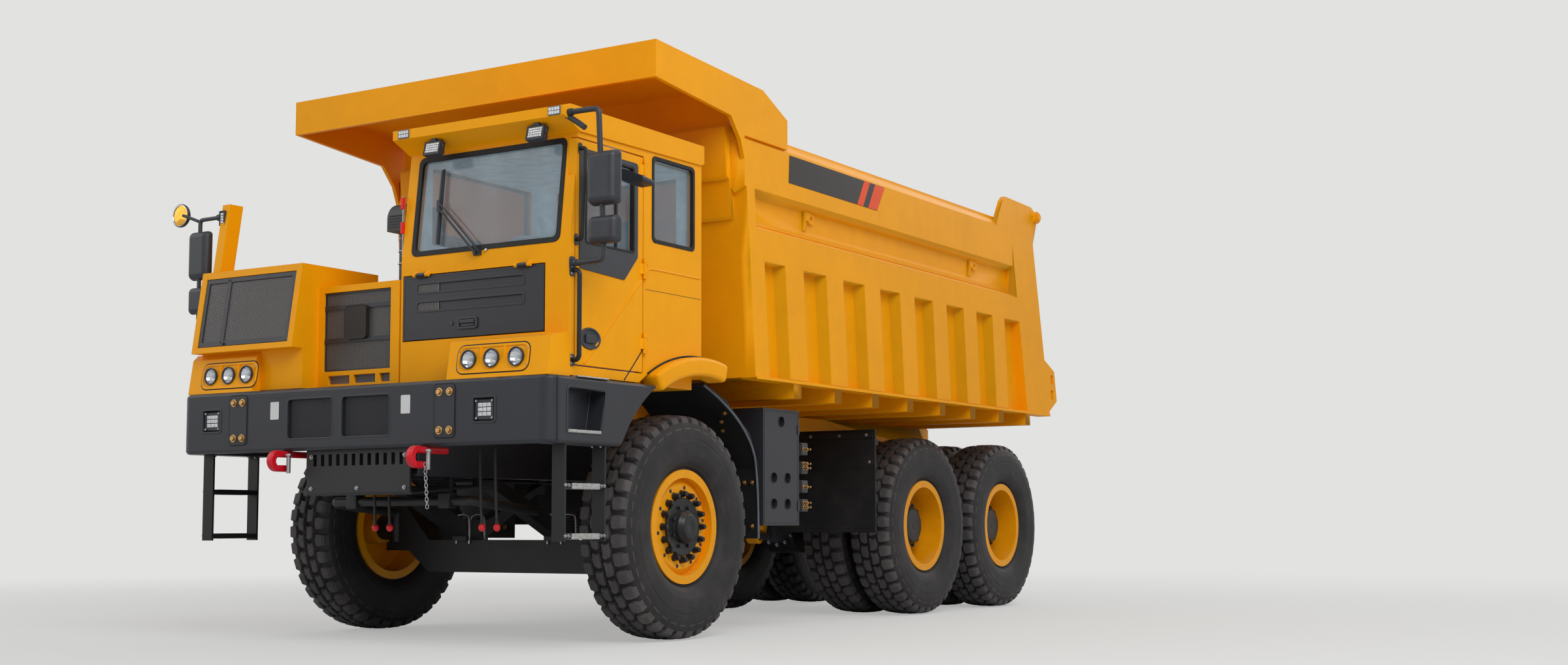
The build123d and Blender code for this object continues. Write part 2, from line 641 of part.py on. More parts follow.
def cab_shell():
    """Hollow cab: walls, floor and roof in one welded shell, with its openings cut."""
    x0, x1 = CAB_X
    shell = prism_x(cab_profile(0), (x0, x1))
    well = shell & arch((WELL_X - 26, x1), WELL_R)
    shell = shell - prism_x(cab_profile(CAB_WALL), (x0 + CAB_WALL, x1 - CAB_WALL)) + well
    roof = prism_x([(VISOR_FRONT, CAB_ROOF - 75), (VISOR_FRONT, CAB_ROOF - 18), (VISOR_FRONT + 60, CAB_ROOF),
                    (CAB_REAR + 15, CAB_ROOF), (CAB_REAR + 15, CAB_EAVES + 12),
                    (CAB_REAR - 20, CAB_EAVES - 1), (FRONT_FACE + SCREEN_LEAN - 2, CAB_EAVES - 18)],
                   (x0 - 15, x1 + 12))
    shell += roof
    shell += block((620, 1230), (-3180, -2300), (CAB_ROOF - 1, CAB_ROOF + 32))
    shell -= door_outline(0) - arch((WELL_X, x1 + 10), DOOR_ARCH_R - DOOR_GAP)
    for z in DOOR_HINGES:
        shell += door_hinge(z)[1]
    shell -= prism_y([(SCREEN_X[0], SCREEN_Z[0]), (SCREEN_X[1], SCREEN_Z[0]),
                      (SCREEN_X[1], SCREEN_Z[1]), (SCREEN_X[0], SCREEN_Z[1])],
                     (FRONT_FACE - 20, FRONT_FACE + CAB_WALL + SCREEN_LEAN + 10))
    for x, y, z in SIDE_WINDOWS:
        shell -= block((x - CAB_WALL, x + CAB_WALL), y, z)
    x, z = REAR_WINDOW
    shell -= block(x, (CAB_REAR - CAB_WALL - 10, CAB_REAR + 10), z)
    # recess behind the service flap
    shell -= block((FLAP_X[0] - 6, FLAP_X[1] + 6), (FRONT_FACE - 1, FRONT_FACE + FLAP_T + 6),
                   (FLAP_Z[0] - 6, FLAP_Z[1] + 6))
    for x in FLAP_HINGES:
        shell += flap_hinge(x)[1]
    return shell - arch((WELL_X, x1 + 10), FENDER_R[1] + SEAT)


def arch(x, radius):
    """Cylinder round the front axle line, between two x values."""
    return rod((x[0], FRONT_Y, HUB_Z), (x[1], FRONT_Y, HUB_Z), radius)


def cab_windows():
    """Windscreen, side panes and rear pane."""
    slope = SCREEN_LEAN / (CAB_EAVES - SCREEN_FOOT)
    z0, z1 = SCREEN_Z[0] + 0.3, SCREEN_Z[1] - 0.3
    y_at = [FRONT_FACE + 16 + slope * (z - SCREEN_FOOT) for z in (z0, z1)]
    screen = prism_x([(y_at[0], z0), (y_at[0] + GLASS, z0), (y_at[1] + GLASS, z1), (y_at[1], z1)],
                     (SCREEN_X[0] + 0.3, SCREEN_X[1] - 0.3))
    panes = [screen]
    for x, y, z in SIDE_WINDOWS:
        panes.append(block((x - GLASS / 2, x + GLASS / 2), (y[0] + 0.3, y[1] - 0.3),
                           (z[0] + 0.3, z[1] - 0.3)))
    x, z = REAR_WINDOW
    middle = CAB_REAR - CAB_WALL / 2
    panes.append(block((x[0] + 0.3, x[1] - 0.3), (middle - GLASS / 2, middle + GLASS / 2),
                       (z[0] + 0.3, z[1] - 0.3)))
    return Compound(panes)


def door_hinge(z):
    """Moving and fixed parts of one door hinge, outside the rear seam."""
    x, y = CAB_X[1] + HINGE_R + 3, DOOR_Y[1] - DOOR_GAP / 2
    moving, fixed = hinge((x, y, z - 60), (x, y, z + 60), HINGE_R, (-HINGE_R - 8, 30, 0))
    leaf = bar_between((x, y, z - 32), (x, y, z + 32), (-HINGE_R - 8, -30, 0), HINGE_R * 0.8)
    bore = rod((x, y, z - 61), (x, y, z + 61), HINGE_R / 2 + RUNNING)
    return moving + leaf - bore, fixed


def flap_hinge(x):
    """Moving and fixed parts of one hinge along the flap's top edge."""
    y, z = FRONT_FACE - HINGE_R - 2, FLAP_Z[1] + 3
    moving, fixed = hinge((x - 60, y, z), (x + 60, y, z), HINGE_R, (0, HINGE_R + 8, 24))
    leaf = bar_between((x - 32, y, z), (x + 32, y, z), (0, HINGE_R + 8, -24), HINGE_R * 0.8)
    bore = rod((x - 61, y, z), (x + 61, y, z), HINGE_R / 2 + RUNNING)
    return moving + leaf - bore, fixed


def cab_door():
    """Left door, hinged at its rear edge, with the window opening cut."""
    door = door_outline(DOOR_GAP) - arch((WELL_X, CAB_X[1] + 10), DOOR_ARCH_R)
    door -= door_window()
    for z in DOOR_HINGES:
        door += door_hinge(z)[0]
    door += block((CAB_X[1] - 2, CAB_X[1] + 34), (DOOR_Y[0] + 130, DOOR_Y[0] + 165), (1795, 1960))
    return door


def door_glass():
    pane = door_window(-0.3)
    x = CAB_X[1] - CAB_WALL / 2
    return pane & block((x - GLASS / 2, x + GLASS / 2), DOOR_Y, DOOR_Z)


def service_flap():
    """Panel under the windscreen, hinged along its top edge."""
    x0, x1 = FLAP_X
    panel = block((x0, x1), (FRONT_FACE, FRONT_FACE + FLAP_T), FLAP_Z)
    panel = panel - block((x0 + 110, x1 - 150), (FRONT_FACE - 1, FRONT_FACE + 8),
                          (FLAP_Z[1] - 105, FLAP_Z[1] - 50))
    panel -= block((x0 + 110, x1 - 150), (FRONT_FACE - 1, FRONT_FACE + 8),
                   (FLAP_Z[1] - 215, FLAP_Z[1] - 160))
    for x in FLAP_HINGES:
        panel += flap_hinge(x)[0]
    return panel


def dashboard():
    """Dash moulding, steering column and wheel."""
    x0, x1 = CAB_X[0] + CAB_WALL + SEAT, CAB_X[1] - CAB_WALL - 12
    front = FRONT_FACE + CAB_WALL + 0.3
    floor = DECK_Z + CAB_WALL + SEAT
    dash = prism_x([(front, floor), (front + 90, floor), (front + 240, 2020), (front + 330, 2240),
                    (front + 290, 2300), (front + 20, 2300), (front, 2260)], (x0, x1))
    column = rod((WHEEL_AT[0], front + 200, 2080), WHEEL_AT, 32)
    plane = Plane(origin=WHEEL_AT, z_dir=(0, 0.42, 0.91))
    wheel = plane * (Torus(215, 15))
    wheel += plane * Cylinder(50, 36)
    for turn in (0, 120, 240):
        wheel += plane * (Rot(0, 0, turn) * Pos(115, 0, 0) * Box(200, 34, 14))
    return dash + column + wheel


def driver_seat():
    """Suspension seat: base, cushion and back in one block."""
    x, y = (620, 1100), (-2560, -2040)
    floor = DECK_Z + CAB_WALL + 0.3
    base = block((x[0] + 70, x[1] - 70), (y[0] + 60, y[1] - 100), (floor, floor + 330))
    cushion = block(x, y, (floor + 325, floor + 450))
    cushion = fillet(cushion.edges().filter_by(Axis.Z), 60)
    back = prism_x([(y[1] - 130, floor + 440), (y[1] - 10, floor + 440), (y[1] + 35, floor + 1060),
                    (y[1] - 50, floor + 1060)], (x[0] + 20, x[1] - 20))
    return base + cushion + back


# ---------------------------------------------------------------- engine cover
def engine_cover():
    """Sheet cover over the engine beside the cab, with the taller radiator box in front."""
    wall = COVER_WALL
    x0, x1 = COVER_RIGHT, CAB_X[0] - 16
    bx0, bx1 = RADIATOR_BOX_X
    low = block((x0, x1), (FRONT_FACE, CAB_REAR), (DECK_Z, COVER_TOP))
    inner_low = block((x0 + wall, x1 - wall), (FRONT_FACE + wall, CAB_REAR + 1),
                      (DECK_Z - 1, COVER_TOP - wall))
    box = prism_x(radiator_box_outline(0), (bx0, bx1))
    inner_box = prism_x(radiator_box_outline(wall), (bx0 + wall, bx1 - wall))
    well = low & arch((x0, -WELL_X + 26), WELL_R)
    cover = low + box - inner_low - inner_box + well
    cover -= block(CENTRE_GRILLE_X, (FRONT_FACE - 1, FRONT_FACE + wall + 1), GRILLE_Z)
    y, z = RADIATOR_BOX_FRONT, RIGHT_GRILLE_Z
    cover -= block(RIGHT_GRILLE_X, (y - 90, y + wall + 30), z)
    for x in ((-430, -250), (-215, -35), (0, 85)):
        cover -= block(x, (FRONT_FACE - 1, FRONT_FACE + wall + 1), (1580, 1632))
    return cover - arch((x0 - 10, -WELL_X), FENDER_R[1] + SEAT)


def box_front(z):
    """Front face of the radiator box at a height."""
    return RADIATOR_BOX_FRONT - BOX_LEAN * (RADIATOR_BOX_TOP - z)


def radiator_box_outline(inset):
    """Side outline of the box, inset from its faces, with the lamps' step at its foot."""
    top, step, foot = RADIATOR_BOX_TOP - inset, BOX_STEP_Z + inset, DECK_Z - (1 if inset else 0)
    return [(BOX_FOOT_Y + inset, foot), (BOX_FOOT_Y + inset, step), (box_front(step) + inset, step),
            (box_front(top) + inset, top), (BOX_REAR - inset, top), (BOX_REAR - inset, foot)]


def grilles():
    """Flat grille panels set into the two openings of the engine cover."""
    x = [CENTRE_GRILLE_X[0] + SEAT, CENTRE_GRILLE_X[1] - SEAT]
    centre = block(x, (FRONT_FACE + 22, FRONT_FACE + 34), (GRILLE_Z[0] + SEAT, GRILLE_Z[1] - SEAT))
    for z in (GRILLE_Z[0] + 190, GRILLE_Z[1] - 95):
        centre += block(x, (FRONT_FACE + 10, FRONT_FACE + 23), (z - 14, z + 14))
    x = [RIGHT_GRILLE_X[0] + SEAT, RIGHT_GRILLE_X[1] - SEAT]
    low, high = RIGHT_GRILLE_Z[0] + SEAT, RIGHT_GRILLE_Z[1] - SEAT
    right = prism_x([(box_front(low) + 16, low), (box_front(low) + 28, low),
                     (box_front(high) + 28, high), (box_front(high) + 16, high)], x)
    return Compound([centre, right])


def radiator():
    """Cooler cores behind both grilles, joined by a duct."""
    return (block((-340, 80), (-3180, -3060), (FRAME_TOP + SEAT, 2120))
            + block((-440, 440), (-3130, -3080), (FRAME_TOP + SEAT, FRAME_TOP + 40))
            + block((-720, -330), (-3180, -3100), (1720, 2000))
            + block((-1340, -600), (-3340, -3110), (1700, 2100)))


def air_cleaner():
    """Intake cowl on its pipe, and the round filter body behind it."""
    x, y, top = COWL_AT
    low = top - 190
    base = COVER_TOP + SEAT
    arch = [Line((y, low), (y, top - 110)), ThreePointArc((y, top - 110), (y + 32, top - 32), (y + 110, top)),
            Line((y + 110, top), (y + 270, top)),
            ThreePointArc((y + 270, top), (y + 348, top - 32), (y + 380, top - 110)),
            Line((y + 380, top - 110), (y + 380, low)), Line((y + 380, low), (y, low))]
    cowl = Pos(x, 0, 0) * extrude(Plane.YZ * make_face(arch), amount=150)
    neck = rod((x + 65, y + 130, base), (x + 65, y + 130, low + 10), 58)
    body = rod((x + 250, y + 40, FILTER_Z), (x + 250, y + 560, FILTER_Z), FILTER_R)
    link = block((x + 65, x + 250), (y + 100, y + 160), (FILTER_Z - 40, FILTER_Z + 40))
    feet = block((x + 180, x + 320), (y + 120, y + 160), (base, FILTER_Z))
    feet += block((x + 180, x + 320), (y + 440, y + 480), (base, FILTER_Z))
    return cowl + neck + body + link + feet


def fuel_tank():
    """Tank on the right rail, behind the front wheel, on two brackets."""
    tank = block((-1320, -620), (LINER_Y + LINER_T + 136, MID_Y - 1045), (720, 1330))
    tank = fillet(tank.edges().filter_by(Axis.Y), 90)
    for y in (-700, 200):
        tank += block((-640, -FRAME_HALF_W - SEAT), (y - 40, y + 40), (1060, 1300))
    return tank


def side_cabinet():
    """Sheet cabinet on the left rail with round holes in its outer face."""
    x, y, z = (620, 1400), (LINER_Y + LINER_T + 6, LINER_Y + LINER_T + 471), (705, 1490)
    box = block(x, y, z)
    box -= block((x[0] - 1, x[1] - 30), (y[0] + 30, y[1] - 30), (z[0] + 30, z[1] - 30))
    for dy, dz in ((0, 640), (-95, 260), (80, 260), (-95, 85), (80, 85)):
        at = ((y[0] + y[1]) / 2 + dy, z[0] + 60 + dz)
        box -= rod((x[1] - 40, *at), (x[1] + 5, *at), 38)
    arm = block((FRAME_HALF_W + SEAT, x[0] + 10), (y[0], y[0] + 60), (1080, 1340))
    arm += block((FRAME_HALF_W + SEAT, x[0] + 10), (y[1] - 60, y[1]), (1080, 1340))
    return box + arm


# ---------------------------------------------------------------- fenders and mirrors


def ring_sector(radii, x, start, end):
    """Part of a ring round the front axle line, between two angles from the rear."""
    def at(radius, angle):
        return (FRONT_Y + radius * cos(radians(angle)), HUB_Z + radius * sin(radians(angle)))
    middle = (start + end) / 2
    low, high = radii
    edges = [ThreePointArc(at(low, start), at(low, middle), at(low, end)),
             Line(at(low, end), at(high, end)),
             ThreePointArc(at(high, end), at(high, middle), at(high, start)),
             Line(at(high, start), at(low, start))]
    return Pos(x[0], 0, 0) * extrude(Plane.YZ * make_face(edges), amount=x[1] - x[0])


def fenders():
    """Flared steel arches over both front wheels, each on the wall above it."""
    left = ring_sector(FENDER_R, (WELL_X + SEAT, FENDER_EDGE_X), 76, 120)
    right = mirror(left, about=Plane.YZ)
    return Compound([left, right])


def mudguards():
    """Inner arch liners behind the front wheels, and flaps ahead of the twin wheels."""
    y = LINER_Y
    outer = [(y - 650, 1595), (y - 400, 1500), (y - 120, 1300), (y, 1080), (y, 620)]
    back = [(y + LINER_T, 620), (y + LINER_T, 1085), (y - 110, 1312), (y - 395, 1514),
            (y - 650, 1611)]
    liner = prism_x(outer + back, (720, WELL_X))
    arm = block((FRAME_HALF_W + SEAT, 725), (y - 280, y - 230), (1280, 1345))
    arm += block((690, 725), (y - 280, y - 230), (1290, 1440))
    left = liner + arm
    flap = block((500, 1350), (FLAP_Y, FLAP_Y + 14), (650, 1420))
    flap += block((FRAME_HALF_W + SEAT, 1350), (FLAP_Y + 14, FLAP_Y + 50), (1300, 1345))
    return Compound([left, mirror(left, about=Plane.YZ), flap, mirror(flap, about=Plane.YZ)])


def rounded_slab(x, y, z, radius):
    slab = block(x, y, z)
    return fillet(slab.edges().filter_by(Axis.Y), radius)


def mirrors():
    """Mirror heads on their tube loops, left and right, and the lamp post on the right."""
    side, y = CAB_X[1], -3290
    left = pipe([(side + 12 + SEAT, y, 3062), (1700, y, 3062), (1700, y + 55, 2215),
                 (side + SEAT, y + 55, 2215)], 14, 60)
    left += rounded_slab((1600, MIRROR_LIMIT), (y - 15, y + 60), (2530, 2795), 45)
    left += rounded_slab((1600, MIRROR_LIMIT), (y + 5, y + 75), (2300, 2430), 40)
    y, top = RADIATOR_BOX_FRONT, RADIATOR_BOX_TOP
    lean = BOX_LEAN * 450
    right = prism_x([(y + 5, top + SEAT), (y + 115, top + SEAT), (y + 115 + lean, top + 450),
                     (y + 5 + lean, top + 450)], (-1335, -1265))
    right += pipe([(-1330, y + 70, 2700), (-1540, y + 70, 2700), (-1540, y + 70, 2040),
                   (COVER_RIGHT - SEAT, y + 70, 2040)], 13, 50)
    right += rounded_slab((-1640, -1440), (y + 40, y + 100), (2300, 2630), 45)
    right += rounded_slab((-1635, -1445), (y + 45, y + 95), (2080, 2260), 40)
    round_r = 78
    x = -MIRROR_LIMIT + round_r
    right += rod((x, y + 20, 2745), (x, y + 60, 2745), round_r)
    right += rod((-1540, y + 70, 2680), (-1680, y + 55, 2735), 11)
    return Compound([left, right])


# ---------------------------------------------------------------- dump bed
def wall_y(z):
    """Outer face of the front wall at a height."""
    return BED_FRONT + bed_lean(z)


def tail_y(z):
    """Rear edge of the side posts at a height."""
    return on_line(z, (TAIL_FOOT_Y, BED_FLOOR), (TAIL_TOP_Y, RAIL_TOP))


def post_y(z):
    """Front edge of the rear post at a height."""
    return on_line(z, (POST_FOOT_Y, BED_FLOOR), (POST_TOP_Y, RAIL_TOP))


def bed_side():
    """Left side of the bed: plate, rails, ribs, posts, lugs and hinge ear."""
    face, plate_x = BED_HALF_W, BED_HALF_W - BED_RIB
    inner_x = plate_x - BED_PLATE
    foot, top = BED_FLOOR - 20, RAIL_CREST
    side = prism_x([(wall_y(foot), foot), (tail_y(foot), foot), (tail_y(top), top),
                    (wall_y(top), top)], (inner_x, plate_x))
    # upper box rail with a sloping crest
    rail_low = RAIL_TOP - RAIL_H
    crest_x = face - BED_RIB - 20
    rail = prism_y([(plate_x - 1, rail_low - 40), (face, rail_low), (face, RAIL_TOP),
                    (crest_x, RAIL_CREST), (inner_x, RAIL_CREST), (inner_x, rail_low)],
                   (wall_y(RAIL_TOP), POST_TOP_Y + 20))
    low, high = MID_RAIL
    mid = prism_y([(plate_x - 1, low), (face, low), (face, high - 45), (plate_x - 1, high)],
                  (wall_y(low), post_y(low) + 10))
    side += rail + mid
    for i in range(RIB_COUNT):
        y = FIRST_RIB_Y + i * RIB_PITCH
        side += loft([rib_face(y, RIB_W / 2 + RIB_FLARE, plate_x - 1), rib_face(y, RIB_W / 2, face)])
    front_post = prism_x([(wall_y(foot), foot), (wall_y(foot) + 175, foot),
                          (wall_y(low) + 175, low + 1), (wall_y(low), low + 1)], (plate_x - 1, face))
    upper_post = prism_x([(wall_y(low), low), (wall_y(low) + 95, low), (wall_y(rail_low) + 95, rail_low),
                          (wall_y(rail_low), rail_low)], (plate_x - 1, face))
    rear_post = prism_x([(post_y(foot), foot), (tail_y(foot), foot), (tail_y(RAIL_TOP), RAIL_TOP),
                         (post_y(RAIL_TOP), RAIL_TOP)], (plate_x - 1, face))
    side += front_post + upper_post + rear_post
    lip = block((inner_x, face + 12), (wall_y(foot), tail_y(foot) - 20), (foot - 14, foot + 6))
    side += lip
    for y in (-630, 2020):
        side += block((plate_x - 1, plate_x + 16), (y - 75, y - 35), (2740, 2880))
        ear = block((plate_x - 1, plate_x + 22), (y - 60, y + 25), (2810, 2870))
        ear += rod((plate_x - 1, y + 22, 2830), (plate_x + 22, y + 22, 2830), 40)
        side += ear - rod((plate_x - 10, y + 22, 2830), (plate_x + 30, y + 22, 2830), 16)
    # raised ear that carries the tailgate's pin
    pin_y, pin_z = GATE_PIVOT
    ear_x = (face - 60, face - 15)
    ear = prism_x([(2390, RAIL_CREST - 80), (2520, 3440), (2580, 3490), (pin_y - 60, 3480),
                   (pin_y + 40, pin_z + 45), (pin_y + 55, pin_z - 40), (tail_y(3100), 3100),
                   (2640, 3100)], ear_x)
    side += ear
    side += rod((ear_x[0] - 30, pin_y, pin_z), (ear_x[1] + 35, pin_y, pin_z), GATE_PIN_R + 22)
    side -= rod((ear_x[0] - 60, pin_y, pin_z), (ear_x[1] + 60, pin_y, pin_z), GATE_PIN_R + RUNNING)
    # lower latch bracket with two D holes
    bracket = prism_x([(tail_y(2150) - 40, 2150), (tail_y(2150), 2150), (3560, 2060), (LATCH_REAR, 1800),
                       (tail_y(1700), 1700), (tail_y(1700) - 60, 1700)], (face - 50, face))
    for z in (1850, 1985):
        bracket -= block((face - 60, face + 10), (3478, 3530), (z - 40, z + 40))
    return side + bracket


def rib_face(y, half_w, x):
    """Leaning outline of a rib, on the plane at x."""
    foot, top = BED_FLOOR - 10, MID_RAIL[0] + 2
    outline = [(y - half_w, foot), (y + half_w, foot), (y + half_w + bed_lean(top), top),
               (y - half_w + bed_lean(top), top)]
    return Pos(x, 0, 0) * (Plane.YZ * make_face(Polyline(*outline, close=True)))


def dump_bed():
    """Load body: floor, front wall, sides, cross-members and sills."""
    inner_x = BED_HALF_W - BED_RIB - BED_PLATE
    bed = both_sides(bed_side())
    floor_rear = tail_y(BED_FLOOR) - 120
    between_sides = (-inner_x - 1, inner_x + 1)
    bed += block(between_sides, (wall_y(BED_FLOOR) + 5, floor_rear), (BED_FLOOR, BED_FLOOR + 40))
    # front wall with two stepped bands
    foot, top_y = BED_FLOOR - 20, wall_y(WALL_TOP)
    back = top_y + 50
    steps = [(wall_y(foot), foot), (wall_y(2700), 2700), (wall_y(2700) - 35, 2715),
             (wall_y(2955) - 35, 2955), (wall_y(2955) - 70, 2970), (wall_y(3290) - 70, 3290),
             (wall_y(3290) - 20, 3330), (top_y, canopy_under(top_y) - SEAT),
             (back, canopy_under(back) - SEAT), (wall_y(BED_FLOOR) + 50, foot)]
    bed += prism_x(steps, between_sides)
    for i in range(RIB_COUNT + 1):
        y = FIRST_RIB_Y + i * RIB_PITCH
        half = BED_HALF_W - 15
        bed += block((-half, half), (y - 50, y + 50), (SILL_Z[1] - 1, BED_FLOOR - 15))
        bed += block((-half + 15, half - 15), (y - 42, y + 42), (BED_FLOOR - 130, BED_FLOOR + 2))
    pivot_y, pivot_z = BED_PIVOT
    sill = block(SILL_X, (wall_y(BED_FLOOR) + 60, pivot_y - 60), SILL_Z)
    boss_x = (SILL_X[0] - 20, FRAME_HALF_W - FRAME_FLANGE - 8)
    boss = rod((boss_x[0], pivot_y, pivot_z), (boss_x[1], pivot_y, pivot_z), 80)
    boss += block(boss_x, (pivot_y - 80, pivot_y + 80), (pivot_z, BED_FLOOR + 5))
    boss += block(boss_x, (pivot_y - 400, pivot_y), (SILL_Z[0] + 40, SILL_Z[1]))
    sill += boss
    sill += rod((boss_x[0] + 5, pivot_y, pivot_z), (FRAME_HALF_W + EAR_T, pivot_y, pivot_z),
                BED_PIN_R)
    bed += both_sides(sill)
    # cheeks of the hoist heads, with room for each eye to move between them
    head_y, head_z = HOIST_HEAD
    for x in (-HOIST_X, HOIST_X):
        for side in (-1, 1):
            near = x + side * (HOIST_EYE_W / 2 + 6)
            faces = sorted((near, near + side * 15))
            bed += block(faces, (head_y - 75, head_y + 75), (head_z, BED_FLOOR + 5))
            bed += rod((faces[0], head_y, head_z), (faces[1], head_y, head_z), 75)
    return bed


def canopy_under(y):
    """Underside of the canopy's sloping plate at y."""
    front, rear = CANOPY_TOP - CANOPY_PLATE, CANOPY_REAR_TOP - CANOPY_PLATE
    return on_line(y, (front, CANOPY_FRONT), (rear, CANOPY_REAR))


def bed_canopy():
    """Cab guard ahead of the bed: plate, front band and side flanges."""
    front, top, rear_top, plate = CANOPY_FRONT, CANOPY_TOP, CANOPY_REAR_TOP, CANOPY_PLATE
    w, low = BED_HALF_W, CANOPY_TOP - CANOPY_DEPTH
    roof = prism_x([(front, top - plate), (front, top), (CANOPY_REAR, rear_top),
                    (CANOPY_REAR, rear_top - plate)], (-w + 5, w - 5))
    band = block((-w, w), (front, front + 30), (low, top))
    seat_z = RAIL_TOP + (RAIL_CREST - RAIL_TOP) * CANOPY_FLANGE / (BED_RIB + 20) + SEAT
    joint_y = wall_y(RAIL_TOP) - SEAT
    flange = prism_x([(front, low), (front, top), (CANOPY_REAR, rear_top), (-1020, 3435),
                      (-1020, seat_z), (joint_y, seat_z), (joint_y, 3080), (-1605, 3200),
                      (-1720, 3335)], (w - CANOPY_FLANGE, w))
    return roof + band + both_sides(flange)


def tailgate():
    """Top-hung gate between the rear posts, with its two hanger arms."""
    pivot_y, pivot_z = GATE_PIVOT
    half = BED_HALF_W - BED_RIB - BED_PLATE - GATE_GAP
    low, high = BED_FLOOR + 10, RAIL_TOP - 60
    gate = prism_x([(tail_y(low) - 70, low), (tail_y(low) - 10, low), (tail_y(high) - 10, high),
                    (tail_y(high) - 70, high)], (-half, half))
    for z in (1790, 2230, 2670, 3085):
        gate += block((-half, half), (tail_y(z) - 75, tail_y(z) + 22), (z - 45, z + 45))
    arm_x = (half - 90, half - 40)
    arm = prism_x([(tail_y(2950) - 60, 2950), (tail_y(2950) - 10, 2950), (pivot_y + 50, pivot_z - 20),
                   (pivot_y + 30, pivot_z + 45), (pivot_y - 40, pivot_z + 40), (pivot_y - 50, pivot_z - 60)],
                  arm_x)
    pin = rod((arm_x[0], pivot_y, pivot_z), (BED_HALF_W + 18, pivot_y, pivot_z), GATE_PIN_R)
    return gate + both_sides(arm + pin)


# ---------------------------------------------------------------- hoist
def hoist_axis():
    foot, head = HOIST_FOOT, HOIST_HEAD
    length = sqrt((head[0] - foot[0]) ** 2 + (head[1] - foot[1]) ** 2)
    return length, (head[0] - foot[0]) / length, (head[1] - foot[1]) / length


def hoist_point(x, along):
    _, dy, dz = hoist_axis()
    return (x, HOIST_FOOT[0] + dy * along, HOIST_FOOT[1] + dz * along)


def hoist_part(kind):
    """One kind of piece of the twin hoists: barrels, stages or rods."""
    length, _, _ = hoist_axis()
    barrel_r, stage_r, rod_r = HOIST_RADII
    pieces = []
    for x in (-HOIST_X, HOIST_X):
        half = HOIST_EYE_W / 2
        if kind == "barrels":
            piece = rod(hoist_point(x, 40), hoist_point(x, length - 135), barrel_r)
            foot = hoist_point(x, 0)
            piece += rod((x - half, *foot[1:]), (x + half, *foot[1:]), 58)
            piece -= rod((x - half - 5, *foot[1:]), (x + half + 5, *foot[1:]), HOIST_FOOT_PIN_R + RUNNING)
            piece -= rod(hoist_point(x, 78), hoist_point(x, length - 130), stage_r + RUNNING)
        elif kind == "stages":
            piece = rod(hoist_point(x, 82), hoist_point(x, length - 110), stage_r)
            piece -= rod(hoist_point(x, 96), hoist_point(x, length - 105), rod_r + RUNNING)
        else:
            piece = rod(hoist_point(x, 100), hoist_point(x, length - 30), rod_r)
            head = hoist_point(x, length)
            piece += rod((x - half, *head[1:]), (x + half, *head[1:]), 52)
            piece -= rod((x - half - 5, *head[1:]), (x + half + 5, *head[1:]), HOIST_PIN_R + RUNNING)
        pieces.append(piece)
    return Compound(pieces)


def main():
    os.makedirs("parts", exist_ok=True)
    build_wheels()
    left_knuckle = knuckle()
    save(left_knuckle, "knuckle_left")
    save(mirror(left_knuckle, about=Plane.YZ), "knuckle_right")
    nodes = {
        "tie_rod": tie_rod, "front_axle": front_axle, "rear_axles": rear_axles, "springs": springs,
        "frame_rails": frame_rails, "engine_block": engine, "front_bumper": bumper,
        "skid_plate": skid_plate, "ladders_and_rails": ladders_and_rails, "headlamps": headlamps,
        "cab_shell": cab_shell, "cab_windows": cab_windows, "cab_door": cab_door,
        "door_glass": door_glass, "service_flap": service_flap, "dashboard": dashboard,
        "driver_seat": driver_seat, "engine_cover": engine_cover, "grilles": grilles,
        "radiator": radiator, "air_cleaner": air_cleaner, "fuel_tank": fuel_tank,
        "side_cabinet": side_cabinet, "fenders": fenders, "mudguards": mudguards,
        "mirrors": mirrors, "dump_bed": dump_bed, "bed_canopy": bed_canopy, "tailgate": tailgate,
    }
    for node, build in nodes.items():
        save(build(), node)
    hook = tow_hook()
    save(Compound([hook, mirror(hook, about=Plane.YZ)]), "tow_hooks")
    for kind in ("barrels", "stages", "rods"):
        save(hoist_part(kind), f"hoist_{kind}")


main()
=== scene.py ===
"""Finishes and small parts of a six-wheel mining dump truck, on its CAD frame.

Metres; X to the vehicle's left, Y to its rear, Z up, and the tyres stand on Z = 0.
"""

